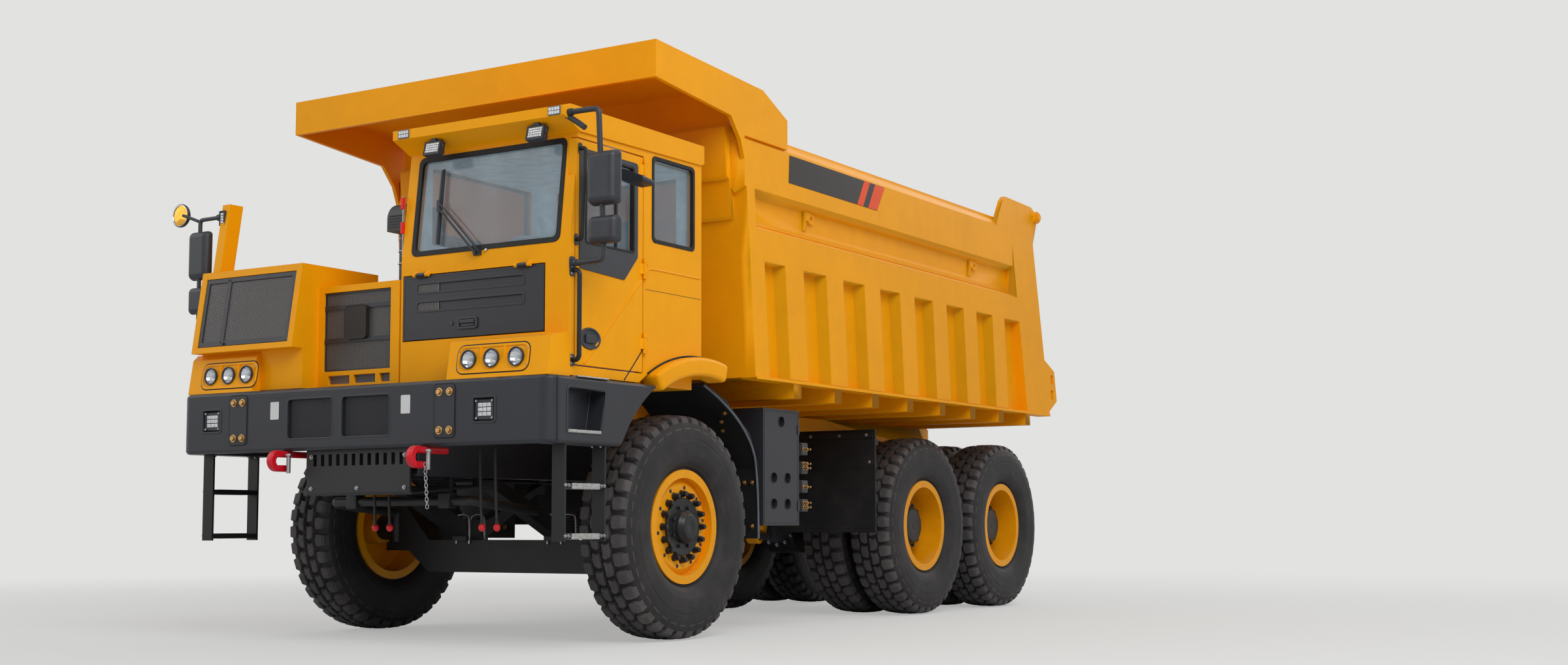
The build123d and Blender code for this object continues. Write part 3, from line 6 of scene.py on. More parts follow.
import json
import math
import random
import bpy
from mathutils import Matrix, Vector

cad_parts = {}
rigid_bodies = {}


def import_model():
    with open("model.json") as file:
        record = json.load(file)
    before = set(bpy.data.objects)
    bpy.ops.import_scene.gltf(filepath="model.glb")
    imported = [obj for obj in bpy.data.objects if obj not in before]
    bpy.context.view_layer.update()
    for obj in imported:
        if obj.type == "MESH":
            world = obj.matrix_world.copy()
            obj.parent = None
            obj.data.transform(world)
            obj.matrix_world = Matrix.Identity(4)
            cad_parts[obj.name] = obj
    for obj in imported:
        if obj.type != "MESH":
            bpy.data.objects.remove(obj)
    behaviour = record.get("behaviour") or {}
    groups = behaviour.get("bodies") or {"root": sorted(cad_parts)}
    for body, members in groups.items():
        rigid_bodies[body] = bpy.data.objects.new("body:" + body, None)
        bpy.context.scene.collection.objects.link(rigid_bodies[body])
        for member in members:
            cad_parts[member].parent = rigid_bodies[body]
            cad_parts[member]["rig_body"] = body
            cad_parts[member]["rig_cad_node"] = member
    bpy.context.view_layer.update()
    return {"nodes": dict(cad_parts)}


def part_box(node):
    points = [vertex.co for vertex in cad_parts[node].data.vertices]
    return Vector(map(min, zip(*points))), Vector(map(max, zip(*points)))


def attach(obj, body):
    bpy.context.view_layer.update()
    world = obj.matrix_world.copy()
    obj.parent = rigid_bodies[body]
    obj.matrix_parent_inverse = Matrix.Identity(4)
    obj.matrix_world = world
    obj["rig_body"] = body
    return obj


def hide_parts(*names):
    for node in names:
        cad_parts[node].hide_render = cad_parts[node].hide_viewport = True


bl_info = {
    "name": "Mining dump truck",
    "version": (1, 0, 0),
    "blender": (4, 5, 0),
    "location": "View3D > Sidebar > Dump truck",
    "description": "Builds the visible parts and finishes of a mining dump truck round its CAD frame",
    "category": "Object",
}

from contextlib import contextmanager

import bpy
from bpy.props import FloatProperty, FloatVectorProperty, IntProperty, PointerProperty
from bpy.types import Operator, Panel, PropertyGroup
from mathutils import Matrix, Vector

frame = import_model()

RANDOM_SEED = 7
X_AXIS, Y_AXIS, Z_AXIS = Vector((1, 0, 0)), Vector((0, 1, 0)), Vector((0, 0, 1))
MIRROR_X = Matrix.Scale(-1, 4, X_AXIS)


# ---------------------------------------------------------------- shader maths
class Value:
    """A number that changes over a surface. Sums on it add Math nodes."""

    def __init__(self, finish, socket):
        self.finish, self.socket = finish, socket

    def math(self, operation, *inputs, clamp=False):
        settings = {"operation": operation, "use_clamp": clamp}
        made = self.finish.node("ShaderNodeMath", settings, dict(enumerate(inputs)))
        return Value(self.finish, made.outputs[0])

    def __add__(self, other):
        return self.math("ADD", self, other)

    def __radd__(self, other):
        return self.math("ADD", other, self)

    def __sub__(self, other):
        return self.math("SUBTRACT", self, other)

    def __rsub__(self, other):
        return self.math("SUBTRACT", other, self)

    def __mul__(self, other):
        return self.math("MULTIPLY", self, other)

    def __rmul__(self, other):
        return self.math("MULTIPLY", other, self)

    def __truediv__(self, other):
        return self.math("DIVIDE", self, other)

    def __pow__(self, other):
        return self.math("POWER", self, other)

    def clamped(self):
        return self.math("ADD", self, 0.0, clamp=True)

    def step(self, low, high):
        """0 below low and 1 above high, with a smooth change between them."""
        inputs = {0: self, 1: low, 2: high, 3: 0.0, 4: 1.0}
        made = self.finish.node("ShaderNodeMapRange", {"interpolation_type": "SMOOTHSTEP"}, inputs)
        return Value(self.finish, made.outputs[0])


class Finish:
    """One material. Every node in it comes from node()."""

    def __init__(self, name):
        self.material = bpy.data.materials.new(name)
        self.material.use_nodes = True
        self.tree = self.material.node_tree
        self.tree.nodes.clear()
        self.place = self.node("ShaderNodeTexCoord").outputs["Object"]

    def node(self, kind, settings=None, inputs=None):
        """Adds a node, with its settings first and then its sockets' values or links."""
        made = self.tree.nodes.new(kind)
        for name, value in (settings or {}).items():
            if name == "stops":
                ramp = made.color_ramp
                while len(ramp.elements) < len(value):
                    ramp.elements.new(0.5)
                for element, (position, colour) in zip(ramp.elements, value):
                    element.position, element.color = position, colour
            else:
                setattr(made, name, value)
        for name, value in (inputs or {}).items():
            if isinstance(value, Value):
                value = value.socket
            if isinstance(value, bpy.types.NodeSocket):
                self.tree.links.new(value, made.inputs[name])
            else:
                made.inputs[name].default_value = value
        return made

    def stretched(self, scale, turn=(0, 0, 0)):
        """Object coordinates, turned and then scaled apart along each axis."""
        inputs = {"Vector": self.place, "Scale": scale, "Rotation": turn}
        return self.node("ShaderNodeMapping", {}, inputs).outputs[0]

    def noise(self, scale, detail=2.0, roughness=0.5, where=None, distortion=0.0):
        inputs = {"Vector": where or self.place, "Scale": scale, "Detail": detail,
                  "Roughness": roughness, "Distortion": distortion}
        return Value(self, self.node("ShaderNodeTexNoise", {}, inputs).outputs["Fac"])

    def cells(self, scale, feature="F1", where=None):
        inputs = {"Vector": where or self.place, "Scale": scale}
        made = self.node("ShaderNodeTexVoronoi", {"feature": feature}, inputs)
        return Value(self, made.outputs["Distance"])

    def bands(self, scale, direction="X", where=None):
        settings = {"wave_type": "BANDS", "bands_direction": direction}
        made = self.node("ShaderNodeTexWave", settings, {"Vector": where or self.place, "Scale": scale})
        return Value(self, made.outputs["Fac"])

    def axis(self, letter):
        """X, Y or Z of the place on the object."""
        made = self.node("ShaderNodeSeparateXYZ", {}, {0: self.place})
        return Value(self, made.outputs[letter])

    def up(self):
        """How far the surface looks upwards, from -1 to 1."""
        normal = self.node("ShaderNodeTexCoord").outputs["Normal"]
        return Value(self, self.node("ShaderNodeSeparateXYZ", {}, {0: normal}).outputs["Z"])

    def blend(self, share, low, high):
        """A colour between two colours or colour sockets."""
        made = self.node("ShaderNodeMix", {"data_type": "RGBA"}, {0: share, 6: low, 7: high})
        return made.outputs[2]

    def surface(self, inputs, bumps=()):
        """The shader and output. Each bump is a height, its depth in metres and its strength."""
        normal = None
        for height, depth, strength in bumps:
            sockets = {"Height": height, "Distance": depth, "Strength": strength}
            if normal:
                sockets["Normal"] = normal
            normal = self.node("ShaderNodeBump", {}, sockets).outputs[0]
        if normal:
            inputs = {**inputs, "Normal": normal}
        shader = self.node("ShaderNodeBsdfPrincipled", {}, inputs)
        self.node("ShaderNodeOutputMaterial", {}, {"Surface": shader.outputs[0]})
        return self.material


# ---------------------------------------------------------------- workbench
def rest():
    """Back to object mode with nothing selected."""
    if bpy.context.mode != "OBJECT":
        bpy.ops.object.mode_set(mode="OBJECT")
    bpy.ops.object.select_all(action="DESELECT")


def choose(obj):
    rest()
    obj.select_set(True)
    bpy.context.view_layer.objects.active = obj


def settle(obj):
    """Leaves the place of an object in its mesh."""
    choose(obj)
    bpy.ops.object.transform_apply(location=True, rotation=True, scale=True)
    return obj


def fresh(name):
    """The primitive that was just added, under its own name and at the origin."""
    made = bpy.context.object
    made.name = made.data.name = name
    return settle(made)


def add_box(name, low, high):
    rest()
    middle = [(a + b) / 2 for a, b in zip(low, high)]
    size = [b - a for a, b in zip(low, high)]
    bpy.ops.mesh.primitive_cube_add(size=1, location=middle, scale=size)
    return fresh(name)


def add_bar(name, start, end, radius, sides=24, tip=None):
    """A round bar between two points. With tip, its far end has another radius."""
    rest()
    start, end = Vector(start), Vector(end)
    turn = (end - start).to_track_quat("Z", "Y").to_euler()
    bpy.ops.mesh.primitive_cone_add(
        vertices=sides, radius1=radius, radius2=radius if tip is None else tip,
        depth=(end - start).length, location=(start + end) / 2, rotation=turn)
    return fresh(name)


def add_ball(name, middle, radius, scale=(1, 1, 1), segments=20):
    rest()
    bpy.ops.mesh.primitive_uv_sphere_add(
        segments=segments, ring_count=segments // 2, radius=radius, location=middle, scale=scale)
    return fresh(name)


def add_ring(name, middle, along, radius, thickness, sides=36, round_sides=10):
    """A round ring about an axis."""
    rest()
    turn = Vector(along).to_track_quat("Z", "Y").to_euler()
    bpy.ops.mesh.primitive_torus_add(
        location=middle, rotation=turn, major_radius=radius, minor_radius=thickness,
        major_segments=sides, minor_segments=round_sides)
    return fresh(name)


@contextmanager
def editing(obj, kind="FACE", test=None):
    """Edit mode, with the faces, edges or points selected for which test is true."""
    choose(obj)
    bpy.ops.object.mode_set(mode="EDIT")
    bpy.ops.mesh.select_mode(type=kind)
    bpy.ops.mesh.select_all(action="SELECT" if test is None else "DESELECT")
    if test is not None:
        bpy.ops.object.mode_set(mode="OBJECT")
        mesh = obj.data
        items = {"FACE": mesh.polygons, "EDGE": mesh.edges, "VERT": mesh.vertices}[kind]
        for item in items:
            item.select = bool(test(item))
        bpy.ops.object.mode_set(mode="EDIT")
    yield obj.data
    bpy.ops.object.mode_set(mode="OBJECT")


def looks(direction, share=0.9):
    """Test for faces that look along a direction."""
    direction = Vector(direction).normalized()
    return lambda face: face.normal.dot(direction) > share


def inset(obj, test, thickness, depth=0.0, each=False):
    with editing(obj, "FACE", test):
        bpy.ops.mesh.inset(thickness=thickness, depth=depth, use_individual=each)


def shift(obj, test, move, kind="VERT"):
    with editing(obj, kind, test):
        bpy.ops.transform.translate(value=tuple(move))


def squeeze(obj, test, scale, middle, kind="VERT"):
    with editing(obj, kind, test):
        bpy.ops.transform.resize(value=tuple(scale), center_override=tuple(middle))


def apply(obj, kind, **settings):
    """Adds a modifier, sets it and applies it."""
    choose(obj)
    made = obj.modifiers.new(kind.title(), kind)
    for name, value in settings.items():
        setattr(made, name, value)
    bpy.ops.object.modifier_apply(modifier=made.name)
    return obj


def ease(obj, width, segments=2, angle=30):
    """Rounds every edge that is sharper than an angle."""
    return apply(obj, "BEVEL", width=width, segments=segments, limit_method="ANGLE",
                 angle_limit=math.radians(angle), harden_normals=False, miter_outer="MITER_ARC",
                 use_clamp_overlap=True)


def smooth(obj, angle=38):
    choose(obj)
    bpy.ops.object.shade_smooth_by_angle(angle=math.radians(angle))
    return obj


def outwards(obj):
    """Merges doubled points and turns every face outwards."""
    with editing(obj):
        bpy.ops.mesh.remove_doubles(threshold=0.00002)
        bpy.ops.mesh.normals_make_consistent(inside=False)
    return obj


def copied(obj, name, matrix=None):
    """A copy with its own mesh, moved by a matrix."""
    made = obj.copy()
    made.data = obj.data.copy()
    made.name = made.data.name = name
    bpy.context.scene.collection.objects.link(made)
    if matrix is not None:
        made.data.transform(matrix)
        if matrix.determinant() < 0:
            made.data.flip_normals()
    return made


def joined(name, parts):
    """Several objects as one piece."""
    rest()
    for part in parts:
        part.select_set(True)
    bpy.context.view_layer.objects.active = parts[0]
    if len(parts) > 1:
        bpy.ops.object.join()
    made = parts[0]
    made.name = made.data.name = name
    return made


def repeated(name, obj, matrices):
    """One mesh that holds a copy of obj at each matrix; obj itself goes."""
    parts = [copied(obj, f"{name}_{i}", matrix) for i, matrix in enumerate(matrices)]
    bpy.data.objects.remove(obj)
    return joined(name, parts)


def both_sides(obj, name=None):
    """The piece and its mirror image, as one mesh."""
    return joined(name or obj.name, [obj, copied(obj, obj.name + "_other", MIRROR_X)])


def coat(obj, finish):
    """Gives a piece one of the finishes."""
    obj.data.materials.clear()
    obj.data.materials.append(finishes[finish])
    return obj


def spin_matrix(angle, middle, axis):
    """Turn by an angle in radians about a line through a point."""
    middle = Vector(middle)
    return Matrix.Translation(middle) @ Matrix.Rotation(angle, 4, axis) @ Matrix.Translation(-middle)


def ringed(name, obj, count, middle, axis="X", start=0.0):
    """Copies of obj all round an axis."""
    turns = [spin_matrix(start + math.tau * i / count, middle, axis) for i in range(count)]
    return repeated(name, obj, turns)


def place(obj, body="chassis", angle=38):
    """Ends a piece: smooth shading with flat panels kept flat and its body."""
    smooth(obj, angle)
    apply(obj, "WEIGHTED_NORMAL", keep_sharp=True, weight=100)
    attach(obj, body)
    return obj


def fit(obj, finish, body="chassis", angle=38):
    """Coats a piece and ends it."""
    return place(coat(obj, finish), body, angle=angle)


def mount(name, parts, finish, body="chassis", angle=38):
    """Parts as one piece, with its finish, on its body."""
    return place(coat(joined(name, parts), finish), body, angle)


def turned(name, profile, middle, steps=48):
    """A profile of (x, radius) points, extruded point by point and spun about X."""
    rest()
    middle = Vector(middle)
    bpy.ops.mesh.primitive_plane_add(size=0.001, location=middle)
    made = fresh(name)
    first = middle + Vector((profile[0][0], 0, profile[0][1]))
    with editing(made):
        bpy.ops.mesh.merge(type="CENTER")
    made.data.vertices[0].co = first
    for (x0, r0), (x1, r1) in zip(profile, profile[1:]):
        with editing(made, "VERT", lambda v: v.index == len(made.data.vertices) - 1):
            bpy.ops.mesh.extrude_region_move(TRANSFORM_OT_translate={"value": (x1 - x0, 0, r1 - r0)})
    with editing(made):
        bpy.ops.mesh.spin(steps=steps, angle=math.tau, center=tuple(middle), axis=(1, 0, 0))
    return outwards(made)


def tube(name, points, radius, sides=12):
    """A round tube along smooth points, closed at its ends."""
    rest()
    bpy.ops.curve.primitive_nurbs_path_add()
    made = bpy.context.object
    made.name = name
    curve = made.data
    curve.splines.clear()
    spline = curve.splines.new("NURBS")
    spline.points.add(len(points) - 1)
    for point, place_at in zip(spline.points, points):
        point.co = (*place_at, 1)
    spline.order_u = 3
    spline.use_endpoint_u = True
    spline.resolution_u = 6
    made.location = (0, 0, 0)
    curve.bevel_depth = radius
    curve.bevel_resolution = max(1, sides // 4)
    curve.use_fill_caps = True
    choose(made)
    bpy.ops.object.convert(target="MESH")
    return fresh(name)


def diamond_sheet(name, low, high, cell, strand, thickness):
    """Expanded metal in the XZ plane between two corners, looking along -Y."""
    rest()
    width, height = high[0] - low[0], high[2] - low[2]
    across, up = max(2, round(width / cell[0])), max(2, round(height / cell[1]))
    middle = [(a + b) / 2 for a, b in zip(low, high)]
    bpy.ops.mesh.primitive_grid_add(
        x_subdivisions=across, y_subdivisions=up, size=1, location=(0, 0, 0))
    made = fresh(name)
    made.data.transform(
        Matrix.Translation(middle) @ Matrix.Rotation(math.pi / 2, 4,
            "X") @ Matrix.Diagonal((width, height, 1, 1)))
    with editing(made):
        bpy.ops.mesh.poke()

    def straight(edge):
        a, b = (made.data.vertices[i].co for i in edge.vertices)
        along = b - a
        level = min(abs(along.x), abs(along.z)) < 1e-6
        inside = (low[0] + 1e-4 < (a.x + b.x) / 2 < high[0] - 1e-4
                  and low[2] + 1e-4 < (a.z + b.z) / 2 < high[2] - 1e-4)
        return level and inside

    with editing(made, "EDGE", straight):
        bpy.ops.mesh.dissolve_edges(use_verts=False)
    inset(made, None, strand, each=True)
    size = cell[0] * cell[1] / 2
    with editing(made, "FACE", lambda face: len(face.vertices) == 4 and face.area > size * 0.25
                 and abs(face.normal.y) > 0.9 and is_diamond(made.data, face)):
        bpy.ops.mesh.delete(type="FACE")
    return apply(made, "SOLIDIFY", thickness=thickness, offset=0)


def is_diamond(mesh, face):
    """True of a four-sided face whose opposite corners are level and plumb."""
    a, b, c, d = (mesh.vertices[i].co for i in face.vertices)
    level = abs(a.z - c.z) < 2e-4 and abs(b.x - d.x) < 2e-4
    plumb = abs(a.x - c.x) < 2e-4 and abs(b.z - d.z) < 2e-4
    return level or plumb


def softened(node, width, segments=2, angle=30):
    """A copy of a CAD node with rounded edges, which stands for it. Seams halve its pierced walls."""
    made = copied(frame["nodes"][node], node + "_eased")
    made.parent = None
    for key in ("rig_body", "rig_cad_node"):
        if key in made:
            del made[key]
    with editing(made):
        bpy.ops.mesh.remove_doubles(threshold=0.00001)
    for point, normal in WALL_SEAMS.get(node, ()):
        with editing(made):
            bpy.ops.mesh.bisect(plane_co=point, plane_no=normal)
            bpy.ops.mesh.mark_seam()
    with editing(made):
        bpy.ops.mesh.dissolve_limited(angle_limit=math.radians(0.5), delimit={"SEAM"})
    ease(made, width, segments, angle)
    with editing(made):
        bpy.ops.mesh.dissolve_degenerate(threshold=0.00005)
        bpy.ops.mesh.vert_connect_concave()
    body = frame["nodes"][node]["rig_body"]
    place(made, body)
    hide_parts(node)
    return made


def facing(at, along):
    """Matrix that puts a piece modelled on Z at a point, along a direction."""
    return Matrix.Translation(at) @ Vector(along).to_track_quat("Z", "Y").to_matrix().to_4x4()


def slab(name, low, high, width=0.003, segments=2):
    """A box with rounded edges."""
    return ease(add_box(name, low, high), width, segments)


def outline(points, radius=0.0, steps=4):
    """A closed outline of 2-D points, with each corner rounded to a radius."""
    if not radius:
        return [tuple(p) for p in points]
    result = []
    count = len(points)
    for i, point in enumerate(points):
        here = Vector(point)
        back = (Vector(points[i - 1]) - here).normalized()
        ahead = (Vector(points[(i + 1) % count]) - here).normalized()
        half = back.angle(ahead) / 2
        reach = radius / math.tan(half)
        centre = here + (back + ahead).normalized() * (radius / math.sin(half))
        start = (here + back * reach - centre).normalized()
        end = (here + ahead * reach - centre).normalized()
        for k in range(steps + 1):
            result.append(tuple(centre + start.slerp(end, k / steps) * radius))
    return result


def oblong(x, z):
    """Corners of an upright rectangle."""
    return [(x[0], z[0]), (x[1], z[0]), (x[1], z[1]), (x[0], z[1])]


def plate(name, points, depth):
    """A flat plate: an outline of 3-D points, pulled out by a vector."""
    rest()
    bpy.ops.mesh.primitive_circle_add(
        vertices=len(points), radius=1, fill_type="NGON", location=(0, 0, 0))
    made = fresh(name)
    for vertex, point in zip(made.data.vertices, points):
        vertex.co = point
    with editing(made):
        bpy.ops.mesh.extrude_region_move(TRANSFORM_OT_translate={"value": tuple(depth)})
    return outwards(made)


def surround(name, outer, inner, depth):
    """A flat ring between two outlines of as many 3-D points, pulled out by a vector."""
    rest()
    bpy.ops.mesh.primitive_circle_add(
        vertices=len(outer), radius=1, fill_type="NOTHING", location=(0, 0, 0))
    made = fresh(name)
    for vertex, point in zip(made.data.vertices, outer):
        vertex.co = point
    other = copied(made, name + "_inner")
    for vertex, point in zip(other.data.vertices, inner):
        vertex.co = point
    made = joined(name, [made, other])
    with editing(made, "EDGE"):
        bpy.ops.mesh.bridge_edge_loops()
    with editing(made):
        bpy.ops.mesh.extrude_region_move(TRANSFORM_OT_translate={"value": tuple(depth)})
    return outwards(made)


def in_front(points, y_of, lift=0.0):
    """2-D points (x, z) on a front plane whose y depends on z."""
    return [(x, y_of(z) - lift, z) for x, z in points]


def on_side(points, x):
    """2-D points (y, z) on a side plane."""
    return [(x, y, z) for y, z in points]


def hex_bolt(size, height=None, washer=True):
    """A hex head on its washer, standing on Z = 0 at the origin."""
    height = height or size * 0.42
    head = add_bar("bolt_head", (0, 0, size * 0.1), (0, 0, size * 0.1 + height), size / 2, 6,
                   size * 0.45)
    ease(head, size * 0.05, 1, 40)
    parts = [head]
    if washer:
        parts.append(ease(add_bar("washer", (0, 0, -0.001), (0, 0, size * 0.12), size * 0.68, 16),
                          size * 0.03, 1, 40))
    return joined("bolt", parts)


def bolts(name, places, size, finish, body="chassis", height=None):
    """Bolt heads at (point, direction) places as one piece."""
    made = repeated(name, hex_bolt(size, height), [facing(at, along) for at, along in places])
    return fit(made, finish, body)


# ---------------------------------------------------------------- finishes
def linear(red, green, blue):
    """A colour given by its screen values from 0 to 255, as the shader needs it."""
    def one(value):
        value /= 255
        return value / 12.92 if value <= 0.04045 else ((value + 0.055) / 1.055) ** 2.4
    return (one(red), one(green), one(blue), 1.0)


def shaded(colour, share):
    return (*(channel * share for channel in colour[:3]), 1.0)


finishes = {}


def painted(name, colour, rough=0.32, coat_weight=0.3, grain=0.6, wear=0.05, gloss=0.5, spread=1.0):
    """Sprayed paint: slow drift of tone, fine orange peel, thin dust with a painted highlight on upward
    faces, and a few rubbed spots.
    """
    f = Finish(name)
    drift = f.noise(1.1, 3, 0.55)
    cloud = f.noise(7.0, 5, 0.6)
    peel = f.noise(260, 2, 0.5)
    speck = f.noise(900, 1, 0.5)
    rub = f.noise(34, 6, 0.75)
    tone = (drift * 0.6 + cloud * 0.4).step(0.3, 0.7)
    base = f.blend(tone, shaded(colour, 1 - 0.1 * spread), shaded(colour, 1 + 0.06 * spread))
    # Pale where the face looks upwards: thin dust, and a painted highlight where the light falls on top
    # faces.
    dust_and_sheen = (f.up().step(0.45, 0.95) * cloud.step(0.4, 0.75) * 0.22).clamped()
    base = f.blend(dust_and_sheen, base, linear(196, 176, 146))
    worn = (rub.step(0.69, 0.74) * wear).clamped()
    base = f.blend(worn, base, shaded(colour, 0.45))
    roughness = (cloud * 0.12 + speck * 0.06 + dust_and_sheen * 0.5 + (rough - 0.1)).clamped()
    return f.surface(
        {"Base Color": base, "Roughness": roughness, "Coat Weight": coat_weight,
            "Coat Roughness": 0.12, "Specular IOR Level": gloss},
        ((peel, 0.0004, 0.25 * grain), (cloud, 0.002, 0.12 * grain)))


def rubber(name, colour, dust_and_sheen_share=0.0):
    """Moulded rubber with a matt skin, faint marks, and pale patches of dust and painted sheen."""
    f = Finish(name)
    cloud = f.noise(5, 6, 0.65)
    fine = f.noise(140, 4, 0.7)
    pores = f.cells(260)
    tone = (cloud * 0.5 + fine * 0.5).step(0.32, 0.68)
    base = f.blend(tone, shaded(colour, 0.7), shaded(colour, 1.35))
    # Pale patches: dust, and a painted sheen of light on the rubber.
    dust_and_sheen = (cloud.step(0.45, 0.8) * fine.step(0.35, 0.7) * dust_and_sheen_share).clamped()
    base = f.blend(dust_and_sheen, base, linear(128, 118, 108))
    roughness = (fine * 0.22 + dust_and_sheen * 0.3 + 0.5).clamped()
    return f.surface(
        {"Base Color": base, "Roughness": roughness, "Specular IOR Level": 0.35},
        ((fine, 0.0012, 0.4), (pores, 0.0006, 0.25)))


def metal(name, colour, rough, grain_scale=(1, 1, 1), wear=0.3, strength=0.3):
    """Bare or plated metal with a drawn grain and smudges."""
    f = Finish(name)
    grain = f.noise(220, 3, 0.6, where=f.stretched(grain_scale))
    smudge = f.noise(16, 5, 0.6)
    base = f.blend(smudge.step(0.35, 0.75), colour, shaded(colour, 1 - wear * 0.6))
    roughness = (grain * 0.14 + smudge * 0.16 * wear + (rough - 0.08)).clamped()
    return f.surface(
        {"Base Color": base, "Roughness": roughness, "Metallic": 1.0}, ((grain, 0.0003, strength),))


def moulded(name, colour, rough=0.5, grain=320, glow=0.0):
    """Moulded plastic with a leather-like grain. Glow stands for the daylight in a closed cab."""
    f = Finish(name)
    skin = f.cells(grain)
    cloud = f.noise(10, 4, 0.6)
    base = f.blend(cloud.step(0.3, 0.7), shaded(colour, 0.82), shaded(colour, 1.18))
    roughness = (cloud * 0.16 + skin * 0.12 + (rough - 0.1)).clamped()
    return f.surface(
        {"Base Color": base, "Roughness": roughness, "Emission Color": base,
            "Emission Strength": glow}, ((skin, 0.0005, 0.3),))


def glass(name, tint, alpha=0.42, rough=0.03):
    """Tinted safety glass: thin, with a clean gloss and faint wiping marks."""
    f = Finish(name)
    film = f.noise(6, 5, 0.65, where=f.stretched((1, 1, 0.35)))
    base = f.blend(film.step(0.4, 0.8), tint, shaded(tint, 1.35))
    share = (film * 0.1 + (alpha - 0.05)).clamped()
    roughness = (film * 0.02 + rough).clamped()
    return f.surface(
        {"Base Color": base, "Roughness": roughness, "Alpha": share, "Specular IOR Level": 0.6,
            "Coat Weight": 0.5, "Coat Roughness": 0.02})


def lens(name, colour, scale=160):
    """Ribbed lamp glass over a bright reflector."""
    f = Finish(name)
    ribs = f.bands(scale, "X") + f.bands(scale, "Z")
    spread = f.noise(40, 3)
    base = f.blend((ribs * 0.5).clamped(), shaded(colour, 0.72), colour)
    roughness = (spread * 0.1 + 0.06).clamped()
    return f.surface(
        {"Base Color": base, "Roughness": roughness, "Metallic": 0.35, "Coat Weight": 1.0,
            "Coat Roughness": 0.03}, ((ribs, 0.0012, 0.5),))


def weave(name, colour, thread=420):
    """Woven seat cloth: crossing threads, with a soft mottle and a little nap."""
    f = Finish(name)
    warp, weft = f.bands(thread, "X"), f.bands(thread, "Z")
    across = f.bands(thread, "Y")
    threads = (warp * weft + across * 0.5).clamped()
    mottle = f.noise(30, 5, 0.65)
    base = f.blend((threads * 0.6 + mottle * 0.4).clamped(), shaded(colour, 0.6), shaded(colour, 1.3))
    roughness = (mottle * 0.15 + 0.78).clamped()
    return f.surface(
        {"Base Color": base, "Roughness": roughness, "Sheen Weight": 0.3},
        ((threads, 0.0009, 0.6), (mottle, 0.002, 0.2)))


def tread_plate(name, colour):
    """Aluminium chequer strip with raised bars."""
    f = Finish(name)
    bars = (f.bands(38, "DIAGONAL").step(0.55, 0.8) + f.bands(70, "Y").step(0.6, 0.85)).clamped()
    scuff = f.noise(60, 5, 0.7)
    base = f.blend(scuff.step(0.35, 0.7), colour, shaded(colour, 0.6))
    roughness = (scuff * 0.25 + 0.28).clamped()
    return f.surface(
        {"Base Color": base, "Roughness": roughness, "Metallic": 0.9},
        ((bars, 0.002, 0.6), (scuff, 0.0004, 0.3)))


def floor_finish(colour):
    """Matt floor that takes the shadows and turns into the backdrop's tone further out."""
    f = Finish("studio_floor")
    fine = f.noise(3, 4, 0.6)
    base = f.blend(fine.step(0.2, 0.8), shaded(colour, 0.97), colour)
    material = f.surface(
        {"Base Color": base, "Roughness": (fine * 0.1 + 0.75).clamped(), "Specular IOR Level": 0.2})
    output = next(node for node in f.tree.nodes if node.type == "OUTPUT_MATERIAL")
    lit = output.inputs[0].links[0].from_socket
    glow = f.node("ShaderNodeEmission", {}, {"Color": colour})
    seen = Value(f, f.node("ShaderNodeLightPath").outputs["Is Camera Ray"])
    away = (f.axis("X") ** 2 + f.axis("Y") ** 2).math("SQRT", f.axis("X") ** 2 + f.axis("Y") ** 2)
    share = (away.step(4.5, 15) * 0.5 + 0.5) * seen
    choice = f.node("ShaderNodeMixShader", {}, {0: share, 1: lit, 2: glow.outputs[0]})
    f.tree.links.new(choice.outputs[0], output.inputs[0])
    return material


